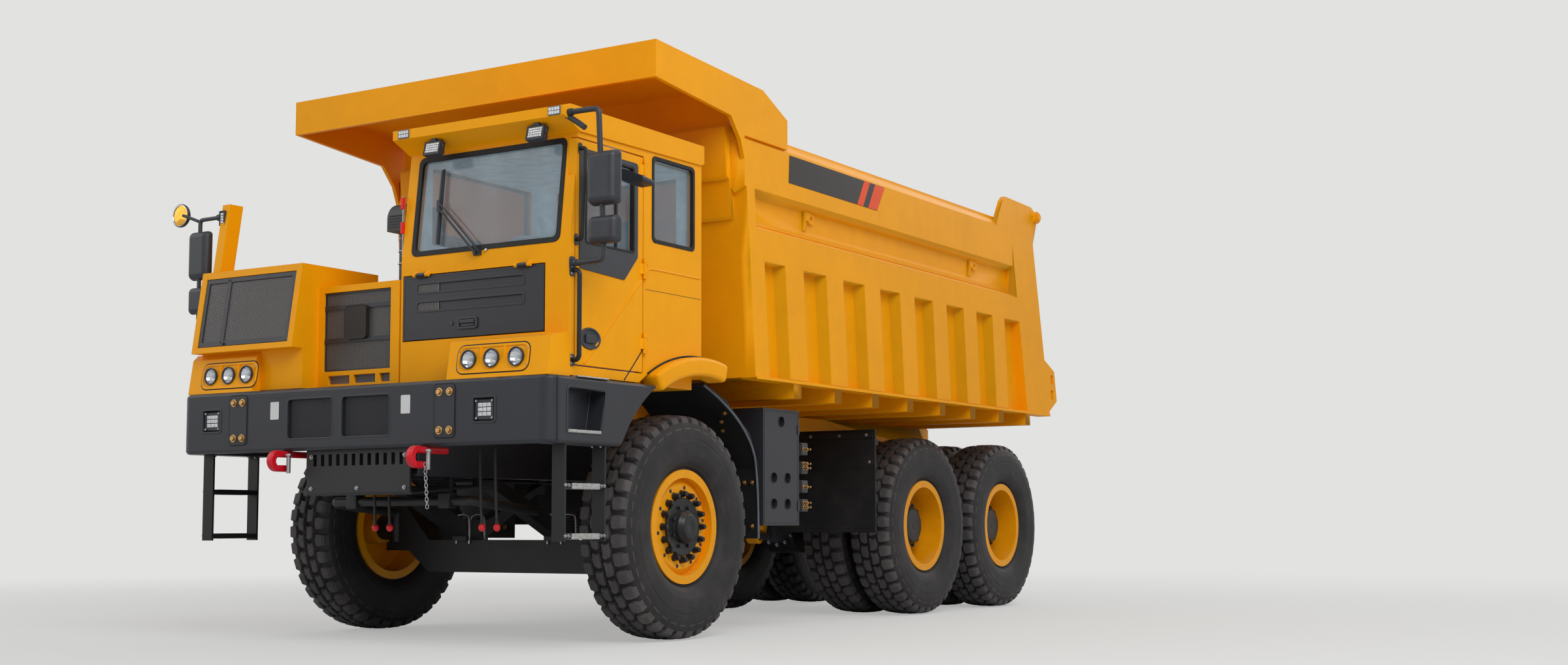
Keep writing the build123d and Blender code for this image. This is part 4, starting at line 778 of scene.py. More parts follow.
def mix_finishes(paint):
    """Every finish of the truck, under the name of its slot or its use."""
    yellow = tuple(paint.body_colour) + (1.0,)
    charcoal = tuple(paint.dark_colour) + (1.0,)
    finishes.update({
        "yellow_paint": painted("yellow_paint_fine", yellow, 0.36, 0.03, gloss=0.1, spread=0.5),
        "bed_paint": painted("bed_paint_fine", yellow, 0.46, 0.02, 1.2, 0.0, 0.1, 0.6),
        "wheel_paint": painted("wheel_paint_fine", shaded(yellow, 0.95), 0.4, 0.05, 0.8, 0.1, 0.2),
        "hoist_yellow": painted("hoist_yellow_fine", shaded(yellow, 0.9), 0.42, 0.05, gloss=0.2),
        "charcoal_paint": painted("charcoal_paint_fine", charcoal, 0.42, 0.1, 1.0, 0.0, 0.35),
        "mesh_metal": painted("mesh_metal_fine", linear(108, 104, 102), 0.4, 0.1, 0.6, 0.1),
        "chassis_black": painted("chassis_black_fine", linear(24, 24, 26), 0.5, 0.0, 1.2, 0.0),
        "engine_iron": painted("engine_iron_fine", linear(62, 62, 64), 0.6, 0.0, 1.4, 0.3),
        "hook_red": painted("hook_red_fine", linear(214, 18, 36), 0.34, 0.1, 0.7, 0.05, 0.3),
        "stripe_orange": painted("stripe_orange_fine", linear(240, 78, 14), 0.4, 0.05, 0.4, 0.0, 0.15),
        "plate_black": painted("plate_black_fine", linear(44, 38, 36), 0.4, 0.05, 0.4, 0.0, 0.2),
        "label_white": painted("label_white_fine", linear(214, 214, 212), 0.4, 0.2, 0.3, 0.2),
        "tyre_rubber": rubber("tyre_rubber_fine", linear(37, 35, 36), 0.2),
        "tread_rubber": rubber("tread_rubber_fine", linear(70, 67, 68), 0.6),
        "black_rubber": rubber("black_rubber_fine", linear(24, 24, 25), 0.08),
        "black_plastic": moulded("black_plastic_fine", linear(44, 46, 52), 0.42),
        "grey_plastic": moulded("grey_plastic_fine", linear(92, 98, 104), 0.55),
        "cab_lining": moulded("cab_lining_fine", linear(172, 192, 202), 0.7, 180, 0.22),
        "dash_grey": moulded("dash_grey_fine", linear(140, 158, 170), 0.6, 320, 0.12),
        "red_plastic": moulded("red_plastic_fine", linear(220, 30, 34), 0.35),
        "seat_fabric": weave("seat_fabric_fine", linear(66, 70, 76)),
        "clear_glass": glass("clear_glass_fine", linear(124, 142, 152), 0.34),
        "hoist_chrome": metal("hoist_chrome_fine", linear(206, 208, 212), 0.14, (1, 1, 1), 0.2, 0.1),
        "chrome": metal("chrome_fine", linear(222, 224, 228), 0.1, (1, 1, 1), 0.1, 0.05),
        "zinc_gold": metal("zinc_gold_fine", linear(208, 168, 112), 0.32, (1, 1, 1), 0.4, 0.3),
        "zinc": metal("zinc_fine", linear(176, 178, 180), 0.36, (1, 1, 1), 0.4, 0.3),
        "bright_aluminium": tread_plate("tread_aluminium_fine", linear(196, 196, 194)),
        "mirror_glass": metal("mirror_glass_fine", linear(226, 230, 234), 0.04, (1, 1, 1), 0.05, 0.02),
        "hub_black": painted("hub_black_fine", linear(28, 28, 30), 0.4, 0.1, 0.8, 0.0, 0.3),
        # Near-black for dark joints, and for painted shade on the sheets behind the grilles and inside
        # the side cabinet.
        "seam_and_shade_black": painted("seam_black_fine", linear(12, 12, 13), 0.7, 0.0, 0.4, 0.0),
        "led_lens": lens("led_lens_fine", linear(240, 242, 244), 420),
        "headlamp_glass": glass("headlamp_glass_fine", linear(226, 232, 238), 0.22, 0.02),
        "round_glass": metal("round_glass_fine", linear(236, 176, 70), 0.08, (1, 1, 1), 0.5, 0.05),
        "lamp_lens": lens("lamp_lens_fine", linear(236, 238, 238)),
        "lamp_amber": lens("lamp_amber_fine", linear(232, 120, 24)),
    })


# ---------------------------------------------------------------- sizes and colours
class PaintSettings(PropertyGroup):
    """Colours that a user would change."""

    body_colour: FloatVectorProperty(
        name="Body colour", description="Paint of the cab, the bed and the engine cover",
        subtype="COLOR", size=3, min=0, max=1, default=linear(249, 166, 8)[:3])
    dark_colour: FloatVectorProperty(
        name="Dark colour", description="Paint of the bumper, the grilles and the service flap",
        subtype="COLOR", size=3, min=0, max=1, default=linear(43, 44, 50)[:3])
    floor_colour: FloatVectorProperty(
        name="Floor colour", description="Plain studio floor and background",
        subtype="COLOR", size=3, min=0, max=1, default=linear(226, 226, 224)[:3])


class TyreSettings(PropertyGroup):
    """Sizes of the tread."""

    pitches: IntProperty(
        name="Tread pitches", description="How many times the tread repeats round a tyre",
        min=20, max=80, default=38)
    groove_depth: FloatProperty(
        name="Groove depth", description="Height of the tread blocks over the casing",
        subtype="DISTANCE", unit="LENGTH", min=0.005, max=0.05, default=0.032)
    block_gap: FloatProperty(
        name="Groove width", description="Gap between neighbouring tread blocks",
        subtype="DISTANCE", unit="LENGTH", min=0.004, max=0.04, default=0.016)


class BodySettings(PropertyGroup):
    """Sizes of the sheet metal's details."""

    mesh_strand: FloatProperty(
        name="Mesh strand", description="Width of a strand of the expanded metal",
        subtype="DISTANCE", unit="LENGTH", min=0.0005, max=0.01, default=0.0015)


class TruckSettings(PropertyGroup):
    """All sizes and colours of the truck."""

    paint: PointerProperty(type=PaintSettings)
    tyres: PointerProperty(type=TyreSettings)
    body: PointerProperty(type=BodySettings)


def settings():
    return bpy.context.scene.mining_truck


# ---------------------------------------------------------------- tyres and wheels
def node_centre(node):
    """Middle of a CAD node's box."""
    low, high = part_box(node)
    return (low + high) / 2


def tyre_sections():
    """Middle of each tyre of the truck, by CAD node."""
    sections = {}
    for node in frame["nodes"]:
        if not node.startswith("tyre"):
            continue
        low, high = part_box(node)
        middle = (low + high) / 2
        half = (high.x - low.x) / 2
        if node.startswith("tyre_"):
            sections[node] = [middle]
        else:
            offset = half - TYRE_HALF_WIDTH
            sections[node] = [middle + X_AXIS * offset, middle - X_AXIS * offset]
    return sections


TYRE_HALF_WIDTH = 0.1878
TYRE_RADIUS = 0.6995
BEAD_RADIUS = 0.3185
LIP_RADIUS = 0.3665
RIM_HALF_WIDTH = 0.1265


def casing(depth):
    """Carcass of one tyre, without its tread, about the origin."""
    base = TYRE_RADIUS - depth
    half = [(RIM_HALF_WIDTH, BEAD_RADIUS), (RIM_HALF_WIDTH, LIP_RADIUS), (0.135, 0.374),
            (0.146, 0.378), (0.152, 0.388), (0.163, 0.398), (0.171, 0.412), (0.1775, 0.436),
            (0.1790, 0.440), (0.1815, 0.447), (0.1850, 0.480), (0.1865, 0.520), (0.1868, 0.535),
            (0.1850, 0.538), (0.1848, 0.552), (0.1866, 0.556), (0.184, 0.590), (0.178, 0.622),
            (0.169, 0.645), (0.158, base - 0.012), (0.140, base - 0.004), (0.07, base + 0.002),
            (0.0, base + 0.003)]
    other = [(-x, r) for x, r in reversed(half[:-1])]
    return turned("casing", half + other + [half[0]], (0, 0, 0), steps=96)


def crown(x):
    """Radius of the tread's face across its width."""
    return TYRE_RADIUS - 0.010 * (abs(x) / 0.14) ** 2


def tread_block(name, outline, depth, taper=0.84):
    """One rubber block: its outline of (across, along) points is pulled up and pinched."""
    rest()
    middle_x = sum(p[0] for p in outline) / len(outline)
    middle_y = sum(p[1] for p in outline) / len(outline)
    bpy.ops.mesh.primitive_circle_add(
        vertices=len(outline), radius=0.02, fill_type="NGON", location=(0, 0, 0))
    made = fresh(name)
    foot = TYRE_RADIUS - depth - 0.008
    for vertex, (x, y) in zip(made.data.vertices, outline):
        vertex.co = (x, y, foot)
    with editing(made):
        bpy.ops.mesh.normals_make_consistent(inside=False)
        bpy.ops.mesh.extrude_region_move(
            TRANSFORM_OT_translate={"value": (0, 0, crown(middle_x) - foot)})
    top = crown(middle_x) - 0.001
    squeeze(made, lambda v: v.co.z > top, (taper, taper, 1), (middle_x, middle_y, top))
    with editing(made, "EDGE", lambda e: all(made.data.vertices[i].co.z > top for i in e.vertices)):
        bpy.ops.mesh.bevel(offset=0.005, segments=2, affect="EDGES")
    for vertex in made.data.vertices:
        if vertex.co.z > top - 0.006:
            vertex.co.z += crown(vertex.co.x) - crown(middle_x)
            vertex.co.z -= vertex.co.y ** 2 / (2 * TYRE_RADIUS)
    return outwards(made)


def tread_pitch(depth, gap, pitch):
    """One pitch of the tread: two rows of six-sided blocks and a lug at each shoulder."""
    g, half = gap / 2, pitch / 2
    centre = [(g, -half + g), (0.030, -half + g - 0.010), (0.066, -half + g + 0.006), (0.074, 0.0),
              (0.066, half - g), (0.030, half - g - 0.012), (g, half - g), (g + 0.004, 0.0)]
    reach = half - g * 1.9
    outer = [(0.086, -reach), (0.118, -reach - 0.004), (0.148, -reach + 0.002),
             (0.150, reach - 0.002), (0.118, reach + 0.004), (0.084, reach), (0.079, 0.0)]
    blocks = []
    for side in (1, -1):
        for row, outline_points, lag in (("centre", centre, 0.25), ("outer", outer, 0.75)):
            slide = (lag if side > 0 else lag + 0.5) * pitch
            points = [(side * x, y) for x, y in outline_points]
            block = tread_block(f"{row}_block", points, depth)
            block.data.transform(Matrix.Rotation(-slide / TYRE_RADIUS, 4, "X"))
            blocks.append(block)
        slide = (0.75 if side > 0 else 1.25) * pitch
        lug = shoulder_lug(side, depth, reach)
        lug.data.transform(Matrix.Rotation(-slide / TYRE_RADIUS, 4, "X"))
        blocks.append(lug)
    return joined("tread_pitch", blocks)


def shoulder_lug(side, depth, half):
    """The lug that runs from an outer block down the side of the tyre."""
    base = TYRE_RADIUS - depth
    top = crown(0.15) - 0.002
    lug = add_box("lug", (0.136, -half, base - 0.062), (0.176, half, top))
    squeeze(lug, lambda v: v.co.z < base - 0.05, (1, 0.80, 1), (0.15, 0, base))
    squeeze(lug, lambda v: v.co.z > base, (1, 0.84, 1), (0.15, 0, base))
    shift(lug, lambda v: v.co.z > base and v.co.x > 0.17, (-0.022, 0, -0.004))
    shift(lug, lambda v: v.co.z < base - 0.05 and v.co.x > 0.17, (0.0068, 0, 0))
    with editing(lug, "EDGE", lambda e: sum(lug.data.vertices[i].co.x for i in e.vertices) > 0.29):
        bpy.ops.mesh.bevel(offset=0.005, segments=2, affect="EDGES")
    if side < 0:
        lug.data.transform(MIRROR_X)
        lug.data.flip_normals()
    return lug


class TRUCK_OT_tyres(Operator):
    """Block-tread tyres for all six wheels"""

    bl_idname = "truck.tyres"
    bl_label = "Tyres"

    def execute(self, context):
        sizes = settings().tyres
        depth, count = sizes.groove_depth, sizes.pitches
        pitch = math.tau * TYRE_RADIUS / count
        body = coat(casing(depth), "tyre_rubber")
        blocks = coat(tread_pitch(depth, sizes.block_gap, pitch), "tread_rubber")
        tyre = joined("tyre", [body, ringed("tread", blocks, count, (0, 0, 0))])
        for node, middles in sorted(tyre_sections().items()):
            parts = [copied(tyre, node + "_part", Matrix.Translation(middle)
                            @ Matrix.Rotation(0.4 * i, 4, "X")) for i, middle in enumerate(middles)]
            made = joined(node + "_tread", parts)
            place(made, frame["nodes"][node]["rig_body"], angle=32)
            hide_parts(node)
        bpy.data.objects.remove(tyre)
        return {"FINISHED"}


# ---------------------------------------------------------------- CAD nodes
EASED = (                      # node, edge radius in metres, segments
    ("front_bumper", 0.006, 2),
    ("cab_shell", 0.006, 2),
    ("engine_cover", 0.008, 2),
    ("headlamps", 0.008, 2),
    ("dump_bed", 0.006, 2),
    ("bed_canopy", 0.006, 2),
    ("tailgate", 0.005, 2),
    ("cab_door", 0.003, 2),
    ("service_flap", 0.003, 2),
    ("fenders", 0.028, 4),
    ("side_cabinet", 0.004, 2),
    ("skid_plate", 0.003, 2),
    ("fuel_tank", 0.004, 2),
    ("front_axle", 0.008, 2),
    ("frame_rails", 0.003, 1),
    ("tow_hooks", 0.010, 3),
)


WALL_SEAMS = {                 # node: planes through its openings, as point and normal
    "cab_shell": (((0.81, 0, 0), (1, 0, 0)), ((0, -2.30, 0), (0, 1, 0)), ((0, -2.90, 0), (0, 1, 0))),
    "front_axle": (((0, -2.04, 0), (0, 1, 0)), ((0, 0, 0.70), (0, 0, 1))),
}


def repaint(node, finish_name):
    """Gives a CAD node or its stand-in a finish."""
    for index in range(len(node.data.materials)):
        node.data.materials[index] = finishes[finish_name]


class TRUCK_OT_frame(Operator):
    """Rounds the edges of the sheet metal and paints every CAD node"""

    bl_idname = "truck.frame"
    bl_label = "Frame and panels"

    def execute(self, context):
        special = {"dump_bed": "bed_paint", "bed_canopy": "bed_paint", "tailgate": "bed_paint",
                   "air_cleaner": "black_plastic", "ladders_and_rails": "hub_black",
                   "dashboard": "dash_grey"}
        eased = {node: (radius, steps) for node, radius, steps in EASED}
        for name, node in sorted(frame["nodes"].items()):
            own = node.data.materials[0].name
            finish = special.get(name, own)
            if name in eased:
                made = softened(name, *eased[name])
                repaint(made, finish)
                if name == "cab_shell":
                    self.line_cab(made)
                if name == "cab_door":
                    shift(made, lambda v: v.co.x > 1.4505 and -3.15 < v.co.y < -3.10
                          and 1.79 < v.co.z < 1.965,
                          (-0.034, 0, 0))
            else:
                repaint(node, finish)
        return {"FINISHED"}

    def line_cab(self, shell):
        """Lining on the faces that look into the cab."""
        shell.data.materials.append(finishes["cab_lining"])
        low, high = Vector((0.205, -3.290, 1.600)), Vector((1.415, -2.020, 2.940))
        middle = (low + high) / 2
        for face in shell.data.polygons:
            at = face.center
            if (all(a < c < b for a, c, b in zip(low, at, high)) and at.y > cab_front(at.z) + 0.03
                    and face.normal.dot(middle - at) > 0):
                face.material_index = len(shell.data.materials) - 1


FRONT_HUB = ((1.3380, 0.1810), (1.3485, 0.1810), (1.3515, 0.1775), (1.3515, 0.1560),
             (1.3485, 0.1510), (1.3485, 0.1060), (1.3580, 0.1000), (1.3745, 0.0985),
             (1.3800, 0.0935), (1.3830, 0.0905), (1.3965, 0.0825), (1.4060, 0.0750),
             (1.4080, 0.0700), (1.4085, 0.0380), (1.4060, 0.0340), (1.4060, 0.0))
REAR_HUB = ((0.8560, 0.1800), (0.9590, 0.1800), (0.9620, 0.1760), (0.9620, 0.1600),
            (1.0800, 0.1540), (1.1380, 0.1475), (1.1420, 0.1440), (1.1500, 0.1330),
            (1.1560, 0.1290), (1.1600, 0.1230), (1.1610, 0.0700), (1.1600, 0.0660),
            (1.1600, 0.0300), (1.1620, 0.0280), (1.1622, 0.0))


NUT_CIRCLE, NUTS = 0.205, 16
VENT_CIRCLE, VENTS = 0.246, 10


def wheel_nut():
    """A black nut cap on its flange, standing on Z = 0."""
    parts = [ease(add_bar("flange", (0, 0, 0), (0, 0, 0.008), 0.0235, 20), 0.0015, 1, 40),
             ease(add_bar("nut", (0, 0, 0.006), (0, 0, 0.032), 0.0215, 6, 0.0200), 0.002, 2, 30),
             ease(add_bar("cap", (0, 0, 0.030), (0, 0, 0.047), 0.0175, 16, 0.0150), 0.003, 3, 40)]
    return joined("wheel_nut", parts)


def hub_set(name, profile, face, nut_x, bolt_r, bolt_count, size=0.026):
    """Cover, nuts and flange bolts of a left-hand hub whose axle is the X axis."""
    cover = turned(name + "_cover", profile, (0, 0, 0), 56)
    nuts = [facing((nut_x, NUT_CIRCLE * math.cos(a), NUT_CIRCLE * math.sin(a)), X_AXIS)
            for a in (math.tau * i / NUTS for i in range(NUTS))]
    ring = repeated(name + "_nuts", wheel_nut(), nuts)
    places = [facing((face, bolt_r * math.cos(a), bolt_r * math.sin(a)), X_AXIS)
              for a in (math.tau * (i + 0.5) / bolt_count for i in range(bolt_count))]
    heads = repeated(name + "_bolts", hex_bolt(size, 0.014), places)
    return coat(joined(name, [cover, ring, heads]), "hub_black")


class TRUCK_OT_wheels(Operator):
    """Hub covers, nuts, vent holes and valves of the wheels"""

    bl_idname = "truck.wheels"
    bl_label = "Wheel hardware"

    def execute(self, context):
        front = hub_set("front_hub", FRONT_HUB, 1.347, 1.330, 0.126, 8)
        rear = hub_set("rear_hub", REAR_HUB, 1.120, 0.905, 0.152, 12, 0.040)
        hole = ease(add_bar("vent", (0, 0, -0.001), (0, 0, 0.0016), 0.0125, 18), 0.0006, 1, 40)
        vents = repeated("vents", hole, [
            facing((1.3304, VENT_CIRCLE * math.cos(a), VENT_CIRCLE * math.sin(a)), X_AXIS)
            for a in (math.tau * (i + 0.25) / VENTS for i in range(VENTS))])
        coat(vents, "hub_black")
        valve = joined("valve", [
            ease(add_bar("stem", (1.236, 0, 0.275), (1.300, 0, 0.272), 0.006, 12, 0.005), 0.001, 1, 40),
            ease(add_bar("cap", (1.296, 0, 0.2722), (1.318, 0, 0.2712), 0.0075, 12), 0.001, 1, 40)])
        coat(valve, "zinc")
        for row, source, extras in (
                ("front", front, (vents, valve)), ("middle", rear, ()), ("rear", rear, ())):
            for side, mirror in (("left", 1), ("right", -1)):
                node = (f"tyre_{row}_{side}" if row == "front" else f"tyres_{row}_{side}")
                centre = node_centre(node)
                matrix = Matrix.Translation((0, centre.y, centre.z))
                if mirror < 0:
                    matrix = matrix @ MIRROR_X
                body = frame["nodes"][node]["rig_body"]
                made = copied(source, f"{row}_{side}_hub", matrix)
                place(made, body=body)
                for extra in extras:
                    place(copied(extra, f"{row}_{side}_{extra.name}", matrix), body=body)
        for used in (front, rear, vents, valve):
            bpy.data.objects.remove(used)
        return {"FINISHED"}


# ---------------------------------------------------------------- bumper and what hangs on it
BUMPER_FACE = -3.540
BUMPER_SIDE = 1.500


def bumper_plane(_z):
    """The bumper's face is upright, so its y is the same at every height."""
    return BUMPER_FACE


def mesh_panel(name, x, z, y, cell=(0.022, 0.011), finish="charcoal_paint"):
    """Expanded metal in a front opening."""
    strand = settings().body.mesh_strand
    made = diamond_sheet(name, (x[0], y, z[0]), (x[1], y, z[1]), cell, strand, 0.0016)
    return coat(made, finish)


def led_lamp(name, middle, size, grid, depth=0.02):
    """A square LED lamp that looks along -Y: black body and bright cells."""
    x, y, z = middle
    w, h = size[0] / 2, size[1] / 2
    body = add_box(name + "_body", (x - w, y, z - h), (x + w, y + depth, z + h))
    inset(body, looks((0, -1, 0)), size[1] * 0.14, 0)
    inset(body, looks((0, -1, 0)), 0.0005, -0.005)
    ease(body, 0.0022, 2, 40)
    coat(body, "black_plastic")
    inner_w, inner_h = w - size[1] * 0.15, h - size[1] * 0.15
    step_x, step_z = 2 * inner_w / grid[0], 2 * inner_h / grid[1]
    cell = add_box(name + "_cell", (-step_x * 0.43, -0.002, -step_z * 0.43),
                   (step_x * 0.43, 0.004, step_z * 0.43))
    inset(cell, looks((0, -1, 0)), min(step_x, step_z) * 0.14, 0.0022)
    ease(cell, 0.0008, 1, 30)
    spots = [
        Matrix.Translation((x + (i + 0.5 - grid[0] / 2) * step_x, y + 0.003,
                z + (k + 0.5 - grid[1] / 2) * step_z)) for i in range(grid[0])
        for k in range(grid[1])]
    lens_part = coat(repeated(name + "_lens", cell, spots), "led_lens")
    return body, lens_part


def two_sided(name, part, body="chassis", angle=38):
    return place(both_sides(part, name), body, angle=angle)


class TRUCK_OT_bumper(Operator):
    """Lamps, mesh windows, bolted plates, labels and steps of the front bumper"""

    bl_idname = "truck.bumper"
    bl_label = "Bumper fittings"

    def execute(self, context):
        for name, x in (("right", (-0.545, -0.160)), ("left", (-0.090, 0.305))):
            mesh = mesh_panel(f"bumper_mesh_{name}", x, (1.235, 1.483), BUMPER_FACE + 0.016)
            place(mesh)
            # A black plate behind the mesh: painted shade in the opening.
            back = plate(f"bumper_mesh_back_{name}", in_front(
                outline(oblong((x[0] + 0.002, x[1] - 0.002), (1.240, 1.478)), 0.02), bumper_plane,
                -0.040),
                (0, 0.004, 0))
            fit(back, "chassis_black")
            rim = [outline(oblong((x[0] - g, x[1] + g), (1.235 - g, 1.483 + g)), 0.028 + g)
                   for g in (0.006, -0.007)]
            edge = surround(f"bumper_mesh_rim_{name}", in_front(rim[0], bumper_plane, 0.0015),
                            in_front(rim[1], bumper_plane, 0.0015), (0, 0.014, 0))
            fit(ease(edge, 0.003, 2), "charcoal_paint")
        for name, x, z in (("right", -1.215, 1.368), ("left", 1.020, 1.364)):
            self.lamp(name, x, z)
        for name, x in (("left", 0.730), ("right", -0.970)):
            self.bolted_plate(name, x)
        for name, x in (("left", 0.427), ("right", -0.652)):
            label = plate(f"bumper_label_{name}", in_front(
                outline(oblong((x - 0.036, x + 0.036), (1.361, 1.469)), 0.006), bumper_plane, 0.0022),
                (0, 0.003, 0))
            inset(label, looks((0, -1, 0)), 0.005, -0.0006)
            fit(ease(label, 0.0006, 1), "label_white")
        self.side_boxes()
        return {"FINISHED"}

    def lamp(self, name, x, z):
        """LED lamp in its recess, with the recess's rolled edge."""
        body, cells = led_lamp(
            f"bumper_lamp_{name}", (x, BUMPER_FACE + 0.004, z), (0.132, 0.112), (3, 3))
        place(body)
        place(cells)
        outer = outline(oblong((x - 0.093, x + 0.093), (z - 0.079, z + 0.079)), 0.018)
        inner = outline(oblong((x - 0.076, x + 0.076), (z - 0.066, z + 0.066)), 0.008)
        edge = surround(f"bumper_lamp_edge_{name}", in_front(outer, bumper_plane, 0.003),
                        in_front(inner, bumper_plane, 0.003), (0, 0.006, 0))
        fit(ease(edge, 0.0022, 2), "charcoal_paint")
        bolts(f"bumper_lamp_screws_{name}", [
            ((x + a * 0.058, BUMPER_FACE + 0.004, z + b * 0.049), (0, -1, 0)) for a in (-1, 1)
            for b in (-1, 1)], 0.011, "zinc")

    def bolted_plate(self, name, x):
        shape = outline(oblong((x - 0.075, x + 0.075), (1.215, 1.515)), 0.022)
        base = plate(f"bumper_plate_{name}", in_front(shape, bumper_plane, 0.0045), (0, 0.006, 0))
        fit(ease(base, 0.0022, 2), "charcoal_paint")
        grow = [outline(oblong((x - 0.075 - g, x + 0.075 + g), (1.215 - g, 1.515 + g)), 0.022 + g)
                for g in (0.010, 0.002)]
        seam = surround(f"bumper_plate_seam_{name}", in_front(grow[0], bumper_plane, 0.0008),
                        in_front(grow[1], bumper_plane, 0.0008), (0, 0.001, 0))
        fit(seam, "seam_and_shade_black")
        bolts(f"bumper_plate_bolts_{name}", [
            ((x + a * 0.038, BUMPER_FACE - 0.0045, 1.365 + b * 0.110), (0, -1, 0))
            for a in (-1, 1) for b in (-1, 1)], 0.036, "zinc_gold", height=0.014)

    def side_boxes(self):
        """Seams, foothold rims and tread strips of both side boxes."""
        seam = add_box("side_seam", (BUMPER_SIDE - 0.001, -3.4815, 1.168),
                       (BUMPER_SIDE + 0.0006, -3.4785, 1.542))
        two_sided("bumper_side_seams", coat(seam, "seam_and_shade_black"))
        grow = [[(-3.390 - g, 1.232 - g), (-3.075 + g, 1.232 - g), (-3.040 + g, 1.483 + g),
                 (-3.390 - g, 1.483 + g)] for g in (0.010, -0.004)]
        rim = surround("foothold_rim", on_side(outline(grow[0], 0.026), BUMPER_SIDE - 0.001),
                       on_side(outline(grow[1], 0.018), BUMPER_SIDE - 0.001), (0.0035, 0, 0))
        two_sided("foothold_rims", coat(ease(rim, 0.0014, 2), "charcoal_paint"))
        tread = slab("foothold_tread", (1.440, -3.385, 1.228), (1.505, -3.085, 1.246), 0.003)
        two_sided("foothold_treads", coat(tread, "bright_aluminium"))
        strip = slab("box_tread", (1.455, -3.300, 1.5435), (1.502, -3.010, 1.5520), 0.002)
        two_sided("box_treads", coat(strip, "bright_aluminium"))


class TRUCK_OT_hooks(Operator):
    """Pins and chain of the tow hooks, skid-plate bolts, pulls and the stabiliser bar"""

    bl_idname = "truck.hooks"
    bl_label = "Tow hooks and pulls"

    def execute(self, context):
        link = add_ring("link", (0, 0, 0), (0, 1, 0), 0.0085, 0.0024, 20, 8)
        shift(link, lambda v: v.co.z > 0, (0, 0, 0.004))
        shift(link, lambda v: v.co.z < 0, (0, 0, -0.004))
        chain = []
        for i in range(13):
            lean = Matrix.Translation((0.618 + 0.0011 * i, -3.575 + 0.0006 * i, 1.060 - 0.0200 * i))
            chain.append(lean @ Matrix.Rotation(math.pi / 2 * (i % 2) + 0.3, 4, "Z"))
        fit(repeated("hook_chain", link, chain), "zinc")
        pin = joined("hook_pin", [
            ease(add_bar("pin", (0, 0, -0.055), (0, 0, 0.052), 0.013, 20), 0.003, 2, 40),
            ease(add_bar("pin_head", (0, 0, 0.048), (0, 0, 0.062), 0.021, 20), 0.003, 2, 40)])
        pins = repeated(
            "hook_pins", pin, [Matrix.Translation((x, -3.560, 1.085)) for x in (0.628, -0.502)])
        fit(pins, "zinc")
        bolts(
            "skid_bolts",
            [((x, -3.4915, z), (0, -1, 0)) for x in (-0.38, 0.0, 0.38) for z in (1.125, 0.935)
                if not (x == 0 and z > 1)], 0.020, "zinc")
        rods, balls = [], []
        for x, y in ((-0.150, -3.20), (-0.030, -3.20), (0.700, -3.20), (0.815, -3.20)):
            rods.append(tube("pull", [(x, y, 1.16), (x + 0.005, y, 0.95), (x + 0.020, y, 0.725)],
                             0.0085, 12))
            rods.append(add_bar("pull_eye", (x + 0.0205, y, 0.735), (x + 0.0205, y, 0.716), 0.011, 16))
            balls.append(add_ball("pull_knob", (x + 0.021, y, 0.700), 0.024, (0.9, 0.9, 1), 20))
        mount("pull_rods", rods, "chassis_black")
        mount("pull_knobs", balls, "red_plastic")
        bar = tube(
            "stabiliser",
            [(-0.60, -2.55, 0.80), (-0.60, -3.02, 0.84), (-0.57, -3.10, 0.86), (-0.50, -3.12, 0.86),
                (0.50, -3.12, 0.86), (0.57, -3.10, 0.86), (0.60, -3.02, 0.84), (0.60, -2.55, 0.80)],
            0.030, 16)
        blocks = [slab("stabiliser_block", (x - 0.045, -3.16, 0.815), (x + 0.045, -3.08, 0.91), 0.01)
                  for x in (-0.38, 0.38)]
        hangers = [slab("stabiliser_hanger", (x - 0.03, -3.135, 0.89), (x + 0.03, -3.105, 1.08), 0.004)
                   for x in (-0.38, 0.38)]
        mount("stabiliser_bar", [bar, *blocks, *hangers], "chassis_black")
        return {"FINISHED"}


class TRUCK_OT_ladders(Operator):
    """Treads and bolts of the boarding ladders, and feet of the grab rails"""

    bl_idname = "truck.ladders"
    bl_label = "Ladders and rails"

    def execute(self, context):
        for side, sign, finish in (("left", 1, "bright_aluminium"), ("right", -1, "chassis_black")):
            treads = []
            for z in (0.930, 0.648):
                tread = slab("tread", (1.392, -3.312, z - 0.016), (1.476, -3.058, z + 0.018), 0.003)
                inset(tread, looks((0, 0, 1)), 0.006, -0.002)
                treads.append(tread)
            made = joined(f"ladder_treads_{side}", treads)
            if sign < 0:
                made.data.transform(MIRROR_X)
                made.data.flip_normals()
            fit(made, finish)
            places = [((sign * 1.4705, y + dy, z), (sign, 0, 0)) for y in (-3.352, -3.026)
                      for dy in (-0.014, 0.014) for z in (0.935, 0.652)]
            places += [((sign * (1.42 + dx), y, 1.163), (0, 0, -1)) for y in (-3.352, -3.022)
                       for dx in (-0.03, 0.03)]
            bolts(f"ladder_bolts_{side}", places, 0.0155, "zinc")
        feet = []
        for y, z in ((-3.293, 2.150), (-3.293, 1.640)):
            shape = outline(oblong((y - 0.030, y + 0.022), (z - 0.034, z + 0.034)), 0.020)
            feet.append(ease(plate("rail_foot", on_side(shape, 1.4503), (0.007, 0, 0)), 0.002, 2))
        for y, z in ((-3.231, 2.860), (-3.263, 2.330)):
            shape = outline(oblong((y - 0.018, y + 0.018), (z - 0.034, z + 0.034)), 0.016)
            feet.append(ease(plate("rail_foot", on_side(shape, 1.4503), (0.006, 0, 0)), 0.002, 2))
        mount("rail_feet", feet, "black_plastic")
        bolts(
            "rail_bolts",
            [((1.4570, y - 0.016, z + dz), (1, 0, 0)) for y, z in ((-3.293, 2.150), (-3.293, 1.640))
                for dz in (-0.019, 0.019)], 0.012, "zinc")
        return {"FINISHED"}


# ---------------------------------------------------------------- cab
CAB_FACE = -3.320
SCREEN_SLOPE = 75 / 675
CAB_SIDE = 1.450
VISOR_FACE = -3.395


def cab_front(z):
    """Front face of the cab at a height."""
    return CAB_FACE + max(0.0, z - 2.300) * SCREEN_SLOPE


